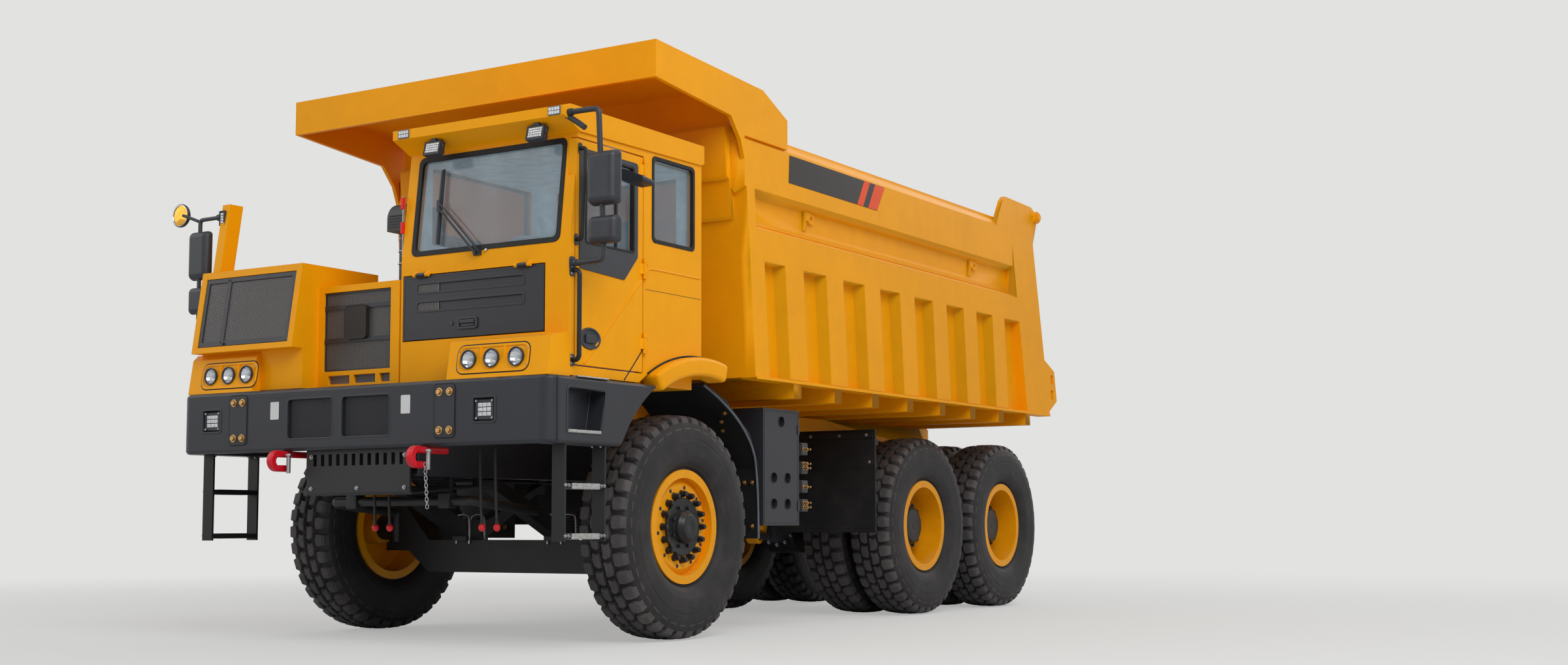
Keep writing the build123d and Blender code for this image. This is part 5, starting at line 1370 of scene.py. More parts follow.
def framed(name, outer, inner, radius, put, depth, width=0.002, finish="black_rubber"):
    """A ring between two rounded rectangles, eased and coated."""
    ring = surround(name, put(outline(outer, radius[0])), put(outline(inner, radius[1])), depth)
    return coat(ease(ring, width, 2), finish)


def grown(x, z, by):
    """Corners of a rectangle with every side moved out."""
    return oblong((x[0] - by, x[1] + by), (z[0] - by, z[1] + by))


class TRUCK_OT_cab(Operator):
    """Window rubbers, creases, door handle, hinges, lamps and wiper of the cab"""

    bl_idname = "truck.cab"
    bl_label = "Cab trim"

    def execute(self, context):
        self.windows()
        self.door()
        self.creases()
        self.lamps()
        self.wiper()
        self.latches()
        return {"FINISHED"}

    def windows(self):
        x, z = (0.262, 1.362), (2.335, 2.915)
        rubber_ring = framed(
            "windscreen_rubber", grown(x, z, 0.017), grown(x, z, -0.015), (0.042, 0.030),
            lambda pts: in_front(pts, cab_front, 0.005), (0, 0.020, 0), 0.004)
        place(rubber_ring)
        y, z = (-2.515, -2.080), (2.425, 2.935)
        ring = framed("side_window_rubber_left", grown(y, z, 0.012), grown(y, z, -0.012),
                      (0.034, 0.024),
                      lambda pts: on_side(pts, CAB_SIDE - 0.016), (0.021, 0, 0), 0.003)
        place(ring)
        ring = framed("side_window_rubber_right", grown((-3.110, -2.170), (2.425, 2.900), 0.014),
                      grown((-3.110, -2.170), (2.425, 2.900), -0.012), (0.036, 0.026),
                      lambda pts: on_side(pts, 0.165), (0.021, 0, 0), 0.003)
        place(ring)
        ring = framed("rear_window_rubber", grown((0.330, 1.290), (2.425, 2.900), 0.014),
                      grown((0.330, 1.290), (2.425, 2.900), -0.012), (0.036, 0.026),
                      lambda pts: in_front(pts, lambda z: -1.990, 0.010), (0, 0.014, 0), 0.003)
        place(ring)

    def door(self):
        """Black window panel with its slanted foot, pane rubber, round handle and hinge bolts."""
        outer = outline([(-3.236, 2.868), (-3.236, 2.170), (-2.805, 2.150), (-2.672, 2.300),
                         (-2.672, 2.868)], 0.022)
        hole = outline([(-3.178, 2.838), (-3.178, 2.322), (-2.900, 2.321), (-2.708, 2.322),
                        (-2.708, 2.838)], 0.020)
        panel = surround(
            "door_window_panel", on_side(outer, CAB_SIDE - 0.001), on_side(hole, CAB_SIDE - 0.001),
            (0.0065, 0, 0))
        fit(ease(panel, 0.002, 2), "black_plastic", "cab_door")
        rubber_ring = framed(
            "door_pane_rubber", oblong((-3.182, -2.704), (2.318, 2.842)),
            oblong((-3.168, -2.720), (2.332, 2.828)), (0.022, 0.012),
            lambda pts: on_side(pts, CAB_SIDE - 0.022), (0.030, 0, 0), 0.002)
        place(rubber_ring, "cab_door")
        channel = slab("door_pane_channel", (CAB_SIDE - 0.024, -2.872, 2.325),
                       (CAB_SIDE - 0.012, -2.852, 2.835), 0.002)
        fit(channel, "black_rubber", "cab_door")
        y, z = -3.128, 1.775
        profile = [(1.4495, 0.0), (1.4495, 0.064), (1.4530, 0.0640), (1.4575, 0.0610), (1.4590, 0.0560),
                   (1.4570, 0.0515), (1.4520, 0.0490), (1.4505, 0.0470), (1.4502, 0.0)]
        bezel = turned("door_handle_bezel", profile, (0, y, z), 40)
        squeeze(bezel, None, (1, 1.55, 1), (0, y, z))
        paddle = slab("door_handle_paddle", (1.4500, y - 0.046, z - 0.026),
                      (1.4610, y + 0.046, z + 0.022), 0.004, 2)
        mount("door_handle", [bezel, paddle], "black_plastic", "cab_door")
        bolts("door_hinge_bolts", [((1.4515, -2.578, h + d), (1, 0, 0)) for h in (1.790, 2.240, 2.840)
                                   for d in (-0.034, 0.034)], 0.014, "yellow_paint")
        seam = tube(
            "door_diagonal_seam",
            [(CAB_SIDE, -2.616, 1.800), (CAB_SIDE, -2.618, 1.760), (CAB_SIDE, -2.640, 1.725),
                (CAB_SIDE, -2.800, 1.560)], 0.0040, 8)
        fit(seam, "seam_and_shade_black", "cab_door")

    def creases(self):
        """Pressed lines of the door and the panel behind it."""
        door = tube(
            "door_crease",
            [(CAB_SIDE, -2.626, 2.170), (CAB_SIDE, -2.700, 2.098), (CAB_SIDE, -2.900, 1.904),
                (CAB_SIDE, -3.185, 1.628)], 0.0065, 8)
        fit(door, "yellow_paint", "cab_door")
        upper = tube(
            "panel_crease",
            [(CAB_SIDE, -2.592, 2.205), (CAB_SIDE, -2.572, 2.238), (CAB_SIDE, -2.540, 2.252),
                (CAB_SIDE, -2.300, 2.252), (CAB_SIDE, -2.006, 2.252)], 0.0065, 8)
        fit(upper, "yellow_paint")
        seam = add_box("panel_seam", (CAB_SIDE - 0.001, -2.590, 2.1195),
                       (CAB_SIDE + 0.0005, -2.000, 2.1225))
        fit(seam, "seam_and_shade_black")

    def lamps(self):
        """Work lamps under the visor and marker lamps at its corners."""
        back = Matrix.Translation((0, VISOR_FACE + 3.490, -0.014))
        for name, x in (("right", 0.455), ("left", 1.240)):
            body, cells = led_lamp(
                f"work_lamp_{name}", (x, -3.478, 2.962), (0.124, 0.086), (6, 4), 0.045)
            for part in (body, cells):
                part.data.transform(back @ spin_matrix(math.radians(-14), (x, -3.46, 2.962), "X"))
            place(body)
            place(cells)
            loop = tube(f"work_lamp_bracket_{name}", [
                (x - 0.062, -3.450, 2.962), (x - 0.066, -3.448, 3.000), (x - 0.030, -3.448, 3.008),
                (x + 0.030, -3.448, 3.008), (x + 0.066, -3.448, 3.000), (x + 0.062, -3.450, 2.962)],
                0.005, 10)
            foot = slab("foot", (x - 0.020, -3.462, 3.000), (x + 0.020, -3.434, 3.030), 0.003)
            fins = [add_box("fin", (x - 0.050 + i * 0.0165, -3.442, 2.930),
                            (x - 0.045 + i * 0.0165, -3.424, 2.988))
                    for i in range(7)]
            bracket = joined(f"work_lamp_bracket_{name}", [loop, foot, *fins])
            bracket.data.transform(back)
            fit(bracket, "black_plastic")
        for name, x in (("right", 0.245), ("left", 1.395)):
            case = slab(f"marker_case_{name}", (x - 0.044, VISOR_FACE - 0.0065, 3.028),
                        (x + 0.044, VISOR_FACE + 0.006, 3.080), 0.003)
            fit(case, "grey_plastic")
            cells = repeated(
                f"marker_lens_{name}",
                slab("cell", (-0.0085, 0, -0.0095), (0.0085, 0.005, 0.0095), 0.002),
                [Matrix.Translation((x + (i - 1.5) * 0.0200, VISOR_FACE - 0.0085,
                        3.054 + (k - 0.5) * 0.0215)) for i in range(4) for k in range(2)])
            fit(cells, "led_lens")

    def wiper(self):
        """Pantograph wiper parked across the windscreen."""
        y = cab_front(2.33) - 0.016
        base = [
            slab("wiper_base", (0.742, y - 0.002, 2.286), (0.800, y + 0.022, 2.322), 0.006, 2),
            ease(add_bar("pivot", (0.764, y - 0.016, 2.305), (0.764, y + 0.01, 2.305), 0.012, 18),
                0.002, 2, 40),
            ease(add_bar("pivot", (0.790, y - 0.012, 2.312), (0.790, y + 0.01, 2.312), 0.009, 18),
                0.002, 2, 40)]
        far = cab_front(2.60) - 0.022
        arms = [
            tube("arm", [(0.764, y - 0.012, 2.305), (0.700, y - 0.014, 2.372), (0.450, far, 2.600)],
                0.0075, 10),
            tube("arm", [(0.790, y - 0.010, 2.312), (0.720, y - 0.012, 2.392), (0.455, far, 2.628)],
                0.0060, 10)]
        holder = slab("holder", (0.436, far - 0.004, 2.580), (0.462, far + 0.010, 2.650), 0.003)
        low, high = cab_front(2.38) + 0.004, cab_front(2.84) + 0.002
        spine = tube(
            "spine",
            [(0.452, low - 0.014, 2.385), (0.450, far + 0.004, 2.610),
                (0.447, high - 0.014, 2.835)], 0.0085, 10)
        blade = plate(
            "blade",
            [(0.4485, low - 0.010, 2.380), (0.4485, low + 0.006, 2.380),
                (0.4440, high + 0.006, 2.842), (0.4440, high - 0.010, 2.842)], (0.010, 0, 0))
        mount("wiper", [*base, *arms, holder, spine, ease(blade, 0.001, 1)], "black_plastic")
        nozzle = ease(
            add_bar("washer_nozzle", (0.835, cab_front(2.31) + 0.002, 2.312),
                (0.835, cab_front(2.31) - 0.008, 2.316), 0.010, 16), 0.002, 2, 40)
        fit(nozzle, "zinc")

    def latches(self):
        """Seal strip with red latches at the cab's right front edge, and roof hatch handle."""
        strip = slab("seal_strip", (0.163, -3.312, 2.320), (0.171, -3.290, 2.700), 0.002)
        dots = [add_bar("dot", (0.1665, -3.3125, 2.335 + i * 0.018),
                        (0.1665, -3.3145, 2.335 + i * 0.018), 0.0035, 8)
                for i in range(20)]
        mount("seal_strip", [strip, *dots], "zinc")
        reds = [slab("latch", (0.155, -3.322, z - 0.036), (0.172, -3.296, z + 0.036), 0.004)
                for z in (2.655, 2.505)]
        mount("red_latches", reds, "red_plastic")
        handle = tube(
            "hatch_handle",
            [(0.86, -2.36, 3.128), (0.86, -2.36, 3.150), (0.88, -2.36, 3.156), (0.97, -2.36, 3.156),
                (0.99, -2.36, 3.150), (0.99, -2.36, 3.128)], 0.006, 10)
        fit(handle, "black_plastic")
        hinges = [slab("hatch_hinge", (x - 0.035, -3.250, 3.098), (x + 0.035, -3.215, 3.124), 0.004)
                  for x in (0.74, 1.11)]
        mount("hatch_hinges", hinges, "yellow_paint")


class TRUCK_OT_front(Operator):
    """Service flap details, grilles, badge plate and headlamps"""

    bl_idname = "truck.front"
    bl_label = "Grilles, flap and headlamps"

    def execute(self, context):
        self.flap()
        self.centre_grille()
        self.right_grille()
        for name, x in (("left", (0.880, 1.050, 1.230)), ("right", (-1.260, -1.100, -0.940))):
            self.cluster(name, x)
        return {"FINISHED"}

    def flap(self):
        """Mesh at the ends of both grooves, their rolled rims, the latch and the key."""
        for name, z in (("low", (1.986, 2.039)), ("high", (2.096, 2.149))):
            mesh = mesh_panel(f"flap_mesh_{name}", (0.302, 0.470), z, CAB_FACE + 0.004,
                              cell=(0.020, 0.010), finish="mesh_metal")
            place(mesh, "service_flap")
            rim = framed(f"flap_rim_{name}", oblong((0.290, 1.130), (z[0] - 0.010, z[1] + 0.010)),
                         oblong((0.304, 1.116), (z[0] + 0.003, z[1] - 0.003)), (0.020, 0.012),
                         lambda pts: in_front(pts, cab_front, 0.0025), (0, 0.006, 0), 0.002,
                         "charcoal_paint")
            place(rim, "service_flap")
        edge = framed("flap_edge", oblong((0.192, 1.268), (1.817, 2.198)),
                      oblong((0.204, 1.256), (1.829, 2.186)),
                      (0.010, 0.006), lambda pts: in_front(pts, cab_front, 0.0012), (0, 0.003, 0),
                      0.001,
                      "charcoal_paint")
        place(edge, "service_flap")
        x, z = 0.700, 1.895
        cup = framed(
            "flap_latch", oblong((x - 0.078, x + 0.078), (z - 0.036, z + 0.036)),
            oblong((x - 0.062, x + 0.062), (z - 0.022, z + 0.022)), (0.020, 0.012),
            lambda pts: in_front(pts, cab_front, 0.009), (0, 0.012, 0), 0.003, "black_plastic")
        paddle = slab("latch_paddle", (x - 0.058, CAB_FACE - 0.012, z - 0.002),
                      (x + 0.058, CAB_FACE + 0.002, z + 0.020), 0.004)
        grip = slab("latch_grip", (x - 0.050, CAB_FACE - 0.007, z - 0.020),
                    (x + 0.050, CAB_FACE + 0.002, z - 0.006), 0.003)
        key = ease(
            add_bar("flap_key", (x - 0.125, CAB_FACE + 0.002, z + 0.004),
                (x - 0.125, CAB_FACE - 0.006, z + 0.004), 0.013, 20), 0.002, 2, 40)
        parts = [coat(part, "black_plastic") for part in (paddle, grip, key)]
        place(joined("flap_latch", [cup, *parts]), "service_flap")

    def centre_grille(self):
        x, z, y = (-0.474, 0.084), (1.661, 2.149), -3.3015
        rows = ((1.661, 1.834), (1.866, 2.039), (2.071, 2.149))
        for i, part in enumerate(rows):
            place(mesh_panel(f"grille_mesh_{i}", x, part, y, finish="mesh_metal"))
        # A near-black sheet just behind the meshes: painted shade in the grille's openings.
        back = plate("grille_back", in_front(oblong(x, z), lambda z: -3.2982), (0, 0.001, 0))
        fit(back, "seam_and_shade_black")
        bars = [slab("bar", (x[0], -3.313, h - 0.016), (x[1], -3.298, h + 0.016), 0.003)
                for h in (1.850, 2.055)]
        bars.append(
            framed("rim", oblong(x, z),
                oblong((x[0] + 0.012, x[1] - 0.012), (z[0] + 0.012, z[1] - 0.012)), (0.006, 0.004),
                lambda pts: in_front(pts, lambda z: -3.308), (0, 0.010, 0), 0.0015,
                "charcoal_paint"))
        mount("grille_bars", bars, "charcoal_paint")
        badge = plate(
            "badge_plate",
            in_front(outline(oblong((-0.285, -0.105), (1.852, 2.058)), 0.024), lambda z: -3.334),
            (0, 0.034, 0))
        inset(badge, looks((0, -1, 0)), 0.010, 0.0)
        inset(badge, looks((0, -1, 0)), 0.002, -0.003)
        fit(ease(badge, 0.003, 2), "plate_black")
        for i, part in enumerate(((-0.430, -0.250), (-0.215, -0.035), (0.0, 0.083))):
            mesh = mesh_panel(f"lower_grille_{i}", (part[0] + 0.001, part[1] - 0.001), (1.581, 1.631),
                              CAB_FACE + 0.020, finish="mesh_metal")
            place(mesh)

    def right_grille(self):
        """Mesh, border and divider of the radiator box, leaning back with it."""
        x, z = (-1.374, -0.566), (1.842, 2.283)
        pivot = Vector((0, -3.460 - 0.15 * (2.330 - z[0]) + 0.014, z[0]))
        lean = Matrix.Translation(pivot) @ Matrix.Rotation(-math.atan(0.15), 4, "X")
        height = (z[1] - z[0]) * math.sqrt(1 + 0.15 ** 2)
        parts = []
        for low, high in ((x[0], -1.176), (-1.144, x[1])):
            parts.append(mesh_panel("mesh", (low, high), (0, height), 0, finish="mesh_metal"))
        mesh = joined("right_grille_mesh", parts)
        mesh.data.transform(lean)
        place(mesh)
        # A near-black sheet just behind the mesh: painted shade in the radiator box's opening.
        back = plate("right_grille_back", in_front(oblong(x, (0, height)), lambda z: 0.0016),
                     (0, 0.0004, 0))
        back.data.transform(lean)
        fit(back, "seam_and_shade_black")
        border = surround(
            "right_grille_border", in_front(oblong(x, (0, height)), lambda z: -0.008),
            in_front(oblong((x[0] + 0.030, x[1] - 0.030), (0.030, height - 0.030)),
                lambda z: -0.008), (0, 0.010, 0))
        bar = slab("divider", (-1.176, -0.008, 0.01), (-1.144, 0.003, height - 0.01), 0.002)
        knob = ease(
            add_bar("knob", (-1.142, -0.018, 0.014), (-1.142, 0, 0.014), 0.009, 16), 0.002, 2, 40)
        made = joined("right_grille_border", [ease(border, 0.0025, 2), bar, knob])
        made.data.transform(lean)
        fit(made, "charcoal_paint")

    def cluster(self, name, xs):
        """Three round lamps in a rounded panel."""
        def face(z):
            return -3.522 + 0.159 * (z - 1.545)
        z = 1.655
        low, high = xs[0] - 0.088, xs[-1] + 0.088
        shape = outline(oblong((low, high), (z - 0.080, z + 0.080)), 0.048)
        hole = outline(oblong((low + 0.016, high - 0.016), (z - 0.066, z + 0.066)), 0.036)
        rim = surround(f"lamp_panel_{name}", in_front(shape, face, 0.005), in_front(hole, face, 0.005),
                       (0, 0.007, 0))
        parts = [ease(rim, 0.0022, 2)]
        for a, b in zip(xs, xs[1:]):
            middle = (a + b) / 2
            parts.append(slab("rib", (middle - 0.006, face(z) - 0.006, z - 0.068),
                              (middle + 0.006, face(z) + 0.012, z + 0.068), 0.002))
        mount(f"lamp_panel_{name}", parts, "yellow_paint")
        seam = surround(
            f"lamp_seam_{name}",
            in_front(outline(oblong((low - 0.007, high + 0.007), (z - 0.087, z + 0.087)), 0.054),
                face, 0.0008), in_front(shape, face, 0.0008), (0, 0.001, 0))
        fit(seam, "seam_and_shade_black")
        back = -3.479
        bowl_profile = [(0.002, 0.0525), (-0.030, 0.0525), (-0.034, 0.0505), (-0.0345, 0.0470),
                        (-0.030, 0.0440),
                        (-0.018, 0.0370), (-0.008, 0.0250), (-0.004, 0.0120), (-0.003, 0.0)]
        turn = Matrix.Rotation(math.pi / 2, 4, "Z")
        bezel_profile = [
            (-0.026, 0.0526), (-0.040, 0.0560), (-0.0435, 0.0545), (-0.0440, 0.0500),
            (-0.0405, 0.0465), (-0.030, 0.0460), (-0.026, 0.0526)]
        lens_profile = [(-0.0300, 0.0475), (-0.0350, 0.0455), (-0.0395, 0.0360), (-0.0420, 0.0180),
                        (-0.0425, 0.0)]
        for part_name, profile, finish, slot in (
                ("bowl", bowl_profile, "chrome", "hoist_chrome"),
                ("bezel", bezel_profile, "black_plastic", "black_plastic"),
                ("lens", lens_profile, "headlamp_glass", "clear_glass")):
            made = turned(part_name, profile, (0, 0, 0), 40)
            made.data.transform(turn)
            spots = [Matrix.Translation((x, back, z)) for x in xs]
            fit(repeated(f"lamp_{part_name}_{name}", made, spots), finish)
        bulb = ease(add_bar("bulb", (0, 0, 0), (0, -0.022, 0), 0.010, 16), 0.003, 2, 40)
        fit(repeated(f"lamp_bulb_{name}", bulb, [Matrix.Translation((x, back, z)) for x in xs]), "zinc")
        bolts(
            f"lamp_screws_{name}",
            [((x, face(z + dz) - 0.0045, z + dz), (0, -1, 0.0)) for x in (low + 0.012, high - 0.012)
                for dz in (-0.048, 0.048)], 0.009, "zinc")


class TRUCK_OT_mirrors(Operator):
    """Mirror heads, their tube loops and the yellow lamp post"""

    bl_idname = "truck.mirrors"
    bl_label = "Mirrors"

    def execute(self, context):
        side, y = 1.4503, -3.350
        loops = [
            tube("loop",
                [(side, y, 3.045), (1.620, y, 3.045), (1.665, y, 3.041), (1.675, y + 0.002, 3.020),
                    (1.675, y + 0.006, 2.94), (1.675, y + 0.030, 2.62), (1.675, y + 0.050, 2.30),
                    (1.674, y + 0.050, 2.215), (1.662, y + 0.050, 2.195), (1.635, y + 0.050, 2.190),
                    (side, y + 0.050, 2.190)], 0.0165, 16),
            tube("stay",
                [(1.458, y + 0.004, 3.020), (1.500, y + 0.004, 3.000), (1.575, y + 0.004, 2.945)],
                0.0165, 12)]
        feet = []
        for z, at in ((3.045, y), (2.190, y + 0.050)):
            shape = outline(oblong((at - 0.026, at + 0.026), (z - 0.038, z + 0.038)), 0.018)
            feet.append(ease(plate("foot", on_side(shape, 1.4503), (0.010, 0, 0)), 0.002, 2))
            feet.append(
                ease(add_bar("socket", (1.455, at, z), (1.492, at, z), 0.021, 20), 0.003, 2, 40))
        right_y = -3.390
        loops_right = [
            tube("loop",
                [(-1.330, right_y, 2.700), (-1.500, right_y, 2.700), (-1.535, right_y, 2.697),
                    (-1.540, right_y, 2.68), (-1.540, right_y, 2.62), (-1.540, right_y, 2.10),
                    (-1.540, right_y, 2.06), (-1.536, right_y, 2.043), (-1.500, right_y, 2.040),
                    (-1.4203, right_y, 2.040)], 0.0135, 16),
            tube("stay",
                [(-1.548, right_y - 0.004, 2.690), (-1.60, right_y - 0.010, 2.712),
                    (-1.690, right_y - 0.016, 2.742)], 0.0105, 12)]
        arms = joined(
            "mirror_arms",
            [*loops, *feet, *loops_right,
                ease(add_bar("clamp", (-1.372, right_y, 2.70), (-1.338, right_y, 2.70), 0.022, 18),
                    0.003, 2, 40),
                slab("foot", (-1.4330, right_y - 0.03, 2.005), (-1.4203, right_y + 0.03, 2.075),
                    0.003)])
        fit(arms, "black_plastic")
        heads = [self.head("big_left", (1.578, 1.800), (-3.366, -3.280), (2.492, 2.812)),
                 self.head("small_left", (1.574, 1.798), (-3.350, -3.272), (2.276, 2.442)),
                 self.head("big_right", (-1.640, -1.440), (-3.422, -3.356), (2.298, 2.632)),
                 self.head("small_right", (-1.636, -1.444), (-3.418, -3.362), (2.078, 2.262))]
        post = plate(
            "lamp_post",
            [(-1.335, -3.455, 2.3303), (-1.335, -3.345, 2.3303), (-1.335, -3.2775, 2.780),
                (-1.335, -3.3875, 2.780)], (0.070, 0, 0))
        post = fit(ease(post, 0.004, 2), "yellow_paint")
        self.round_mirror()
        lamp, cells = led_lamp("post_lamp", (-1.316, -3.4105, 2.690), (0.052, 0.096), (2, 4), 0.016)
        place(lamp)
        place(cells)
        fin = plate(
            "kerb_mirror",
            [(1.462, -2.960, 2.815), (1.600, -2.990, 2.765), (1.715, -2.990, 2.720),
                (1.712, -2.980, 2.690), (1.600, -2.945, 2.695), (1.462, -2.925, 2.745)],
            (0.006, 0.110, -0.016))
        fit(ease(fin, 0.010, 3), "black_plastic", "cab_door")
        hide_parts("mirrors")
        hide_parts("mirrors")
        for head in heads:
            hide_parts("mirrors")
        return {"FINISHED"}

    def head(self, name, x, y, z):
        """A mirror case with a rounded front, and its glass set in a lip at the back."""
        case = add_box(f"mirror_{name}", (x[0], y[0], z[0]), (x[1], y[1], z[1]))
        squeeze(case, lambda v: v.co.y < (y[0] + y[1]) / 2, (0.80, 1, 0.88),
                ((x[0] + x[1]) / 2, y[0], (z[0] + z[1]) / 2))
        ease(case, 0.030, 6, 20)
        inset(case, looks((0, 1, 0), 0.99), 0.008, 0.0)
        inset(case, looks((0, 1, 0), 0.99), 0.002, -0.004)
        fit(case, "black_plastic", angle=60)
        w, h = (x[1] - x[0]) / 2 - 0.022, (z[1] - z[0]) / 2 - 0.022
        cx, cz = (x[0] + x[1]) / 2, (z[0] + z[1]) / 2
        glass_part = plate(f"mirror_glass_{name}", in_front(
            outline(oblong((cx - w, cx + w), (cz - h, cz + h)), 0.022), lambda z: y[1] - 0.0035),
            (0, 0.0025, 0))
        inset(glass_part, looks((0, 1, 0)), 0.003, 0.0006)
        fit(glass_part, "mirror_glass")
        return case

    def round_mirror(self):
        profile = [
            (-0.030, 0.0), (-0.030, 0.030), (-0.022, 0.060), (-0.008, 0.0745), (0.004, 0.0778),
            (0.012, 0.0770), (0.015, 0.0735), (0.0125, 0.0690), (0.010, 0.0680)]
        case = turned("round_mirror", profile, (0, 0, 0), 44)
        glass_part = turned(
            "round_mirror_glass",
            [(0.0095, 0.0690), (0.0125, 0.0500), (0.0150, 0.0250), (0.0160, 0.0)], (0, 0, 0), 44)
        ring = turned(
            "round_mirror_ring",
            [(0.0110, 0.0725), (0.0145, 0.0715), (0.0150, 0.0690), (0.0120, 0.0670),
                (0.0100, 0.0685), (0.0110, 0.0725)], (0, 0, 0), 44)
        matrix = Matrix.Translation((-1.7218, -3.390, 2.745)) @ Matrix.Rotation(-math.pi / 2, 4, "Z")
        for part, finish, slot in (
                (case, "black_plastic", "black_plastic"),
                (glass_part, "round_glass", "hoist_chrome"), (ring, "chrome", "hoist_chrome")):
            part.data.transform(matrix)
            fit(part, finish, angle=50)


# ---------------------------------------------------------------- bed and sides
BED_SIDE = 1.530
STRIPE_PLATE = ((-1.058, 3.012), (0.198, 3.012), (0.318, 3.203), (-1.048, 3.203))
STRIPES = (((-0.105, 3.014), (-0.017, 3.014), (0.088, 3.201), (0.002, 3.201)),
           ((0.061, 3.014), (0.196, 3.014), (0.314, 3.201), (0.167, 3.201)))
WELDED_CORNERS = ((1.4525, 2.437, -1.51), (1.4525, 2.688, -1.53), (1.4525, 2.902, -1.55))
CABINET_HOLES = (
    (-0.9475, 1.405), (-1.0425, 1.025), (-0.8675, 1.025), (-1.0425, 0.850), (-0.8675, 0.850))
LINER = ((-1.850, 1.595), (-1.600, 1.500), (-1.320, 1.300), (-1.200, 1.080), (-1.200, 0.620))


class TRUCK_OT_bed(Operator):
    """Stripe plates, weld beads and gate pins of the dump bed"""

    bl_idname = "truck.bed"
    bl_label = "Bed trim"

    def execute(self, context):
        base = ease(plate("stripe_plate", on_side(STRIPE_PLATE, BED_SIDE), (0.0025, 0, 0)), 0.0008, 1)
        mount("stripe_plates", [both_sides(base)], "plate_black", "dump_bed")
        bands = [plate("stripe", on_side(points, BED_SIDE + 0.002), (0.0011, 0, 0))
                 for points in STRIPES]
        mount("stripes", [both_sides(joined("stripes", bands))], "stripe_orange",
              "dump_bed")
        beads = [tube("bead", [(x, y + (3.05 - y) * i / 8, z) for i in range(9)], 0.005, 8)
                 for x, z, y in WELDED_CORNERS]
        mount("weld_beads", [both_sides(joined("beads", beads))], "bed_paint",
              "dump_bed")
        pins = []
        for x, reach in ((1.548, 0.022), (1.345, -0.020)):
            pins.append(
                ease(add_bar("washer", (x, 3.14, 3.395), (x + reach * 0.4, 3.14, 3.395), 0.047, 28),
                    0.002, 2))
            pins.append(ease(add_bar("nut", (x + reach * 0.3, 3.14, 3.395), (x + reach, 3.14, 3.395),
                                     0.036, 6), 0.003, 2))
        mount("gate_pin_nuts", [both_sides(joined("pins", pins))], "bed_paint",
              "tailgate")
        self.gate()
        return {"FINISHED"}

    def gate(self):
        """Grease nipples of the tailgate's hinges."""
        nipples = [joined("nipple", [
            ease(add_bar("base", (x, 3.14, 3.438), (x, 3.14, 3.448), 0.009, 6), 0.001, 1),
            ease(add_bar("tip", (x, 3.14, 3.446), (x, 3.14, 3.462), 0.004, 12, 0.0032), 0.0008, 1),
            add_ball("ball", (x, 3.14, 3.463), 0.0048, segments=10)]) for x in (1.347, -1.347)]
        mount("gate_nipples", nipples, "zinc", "tailgate")


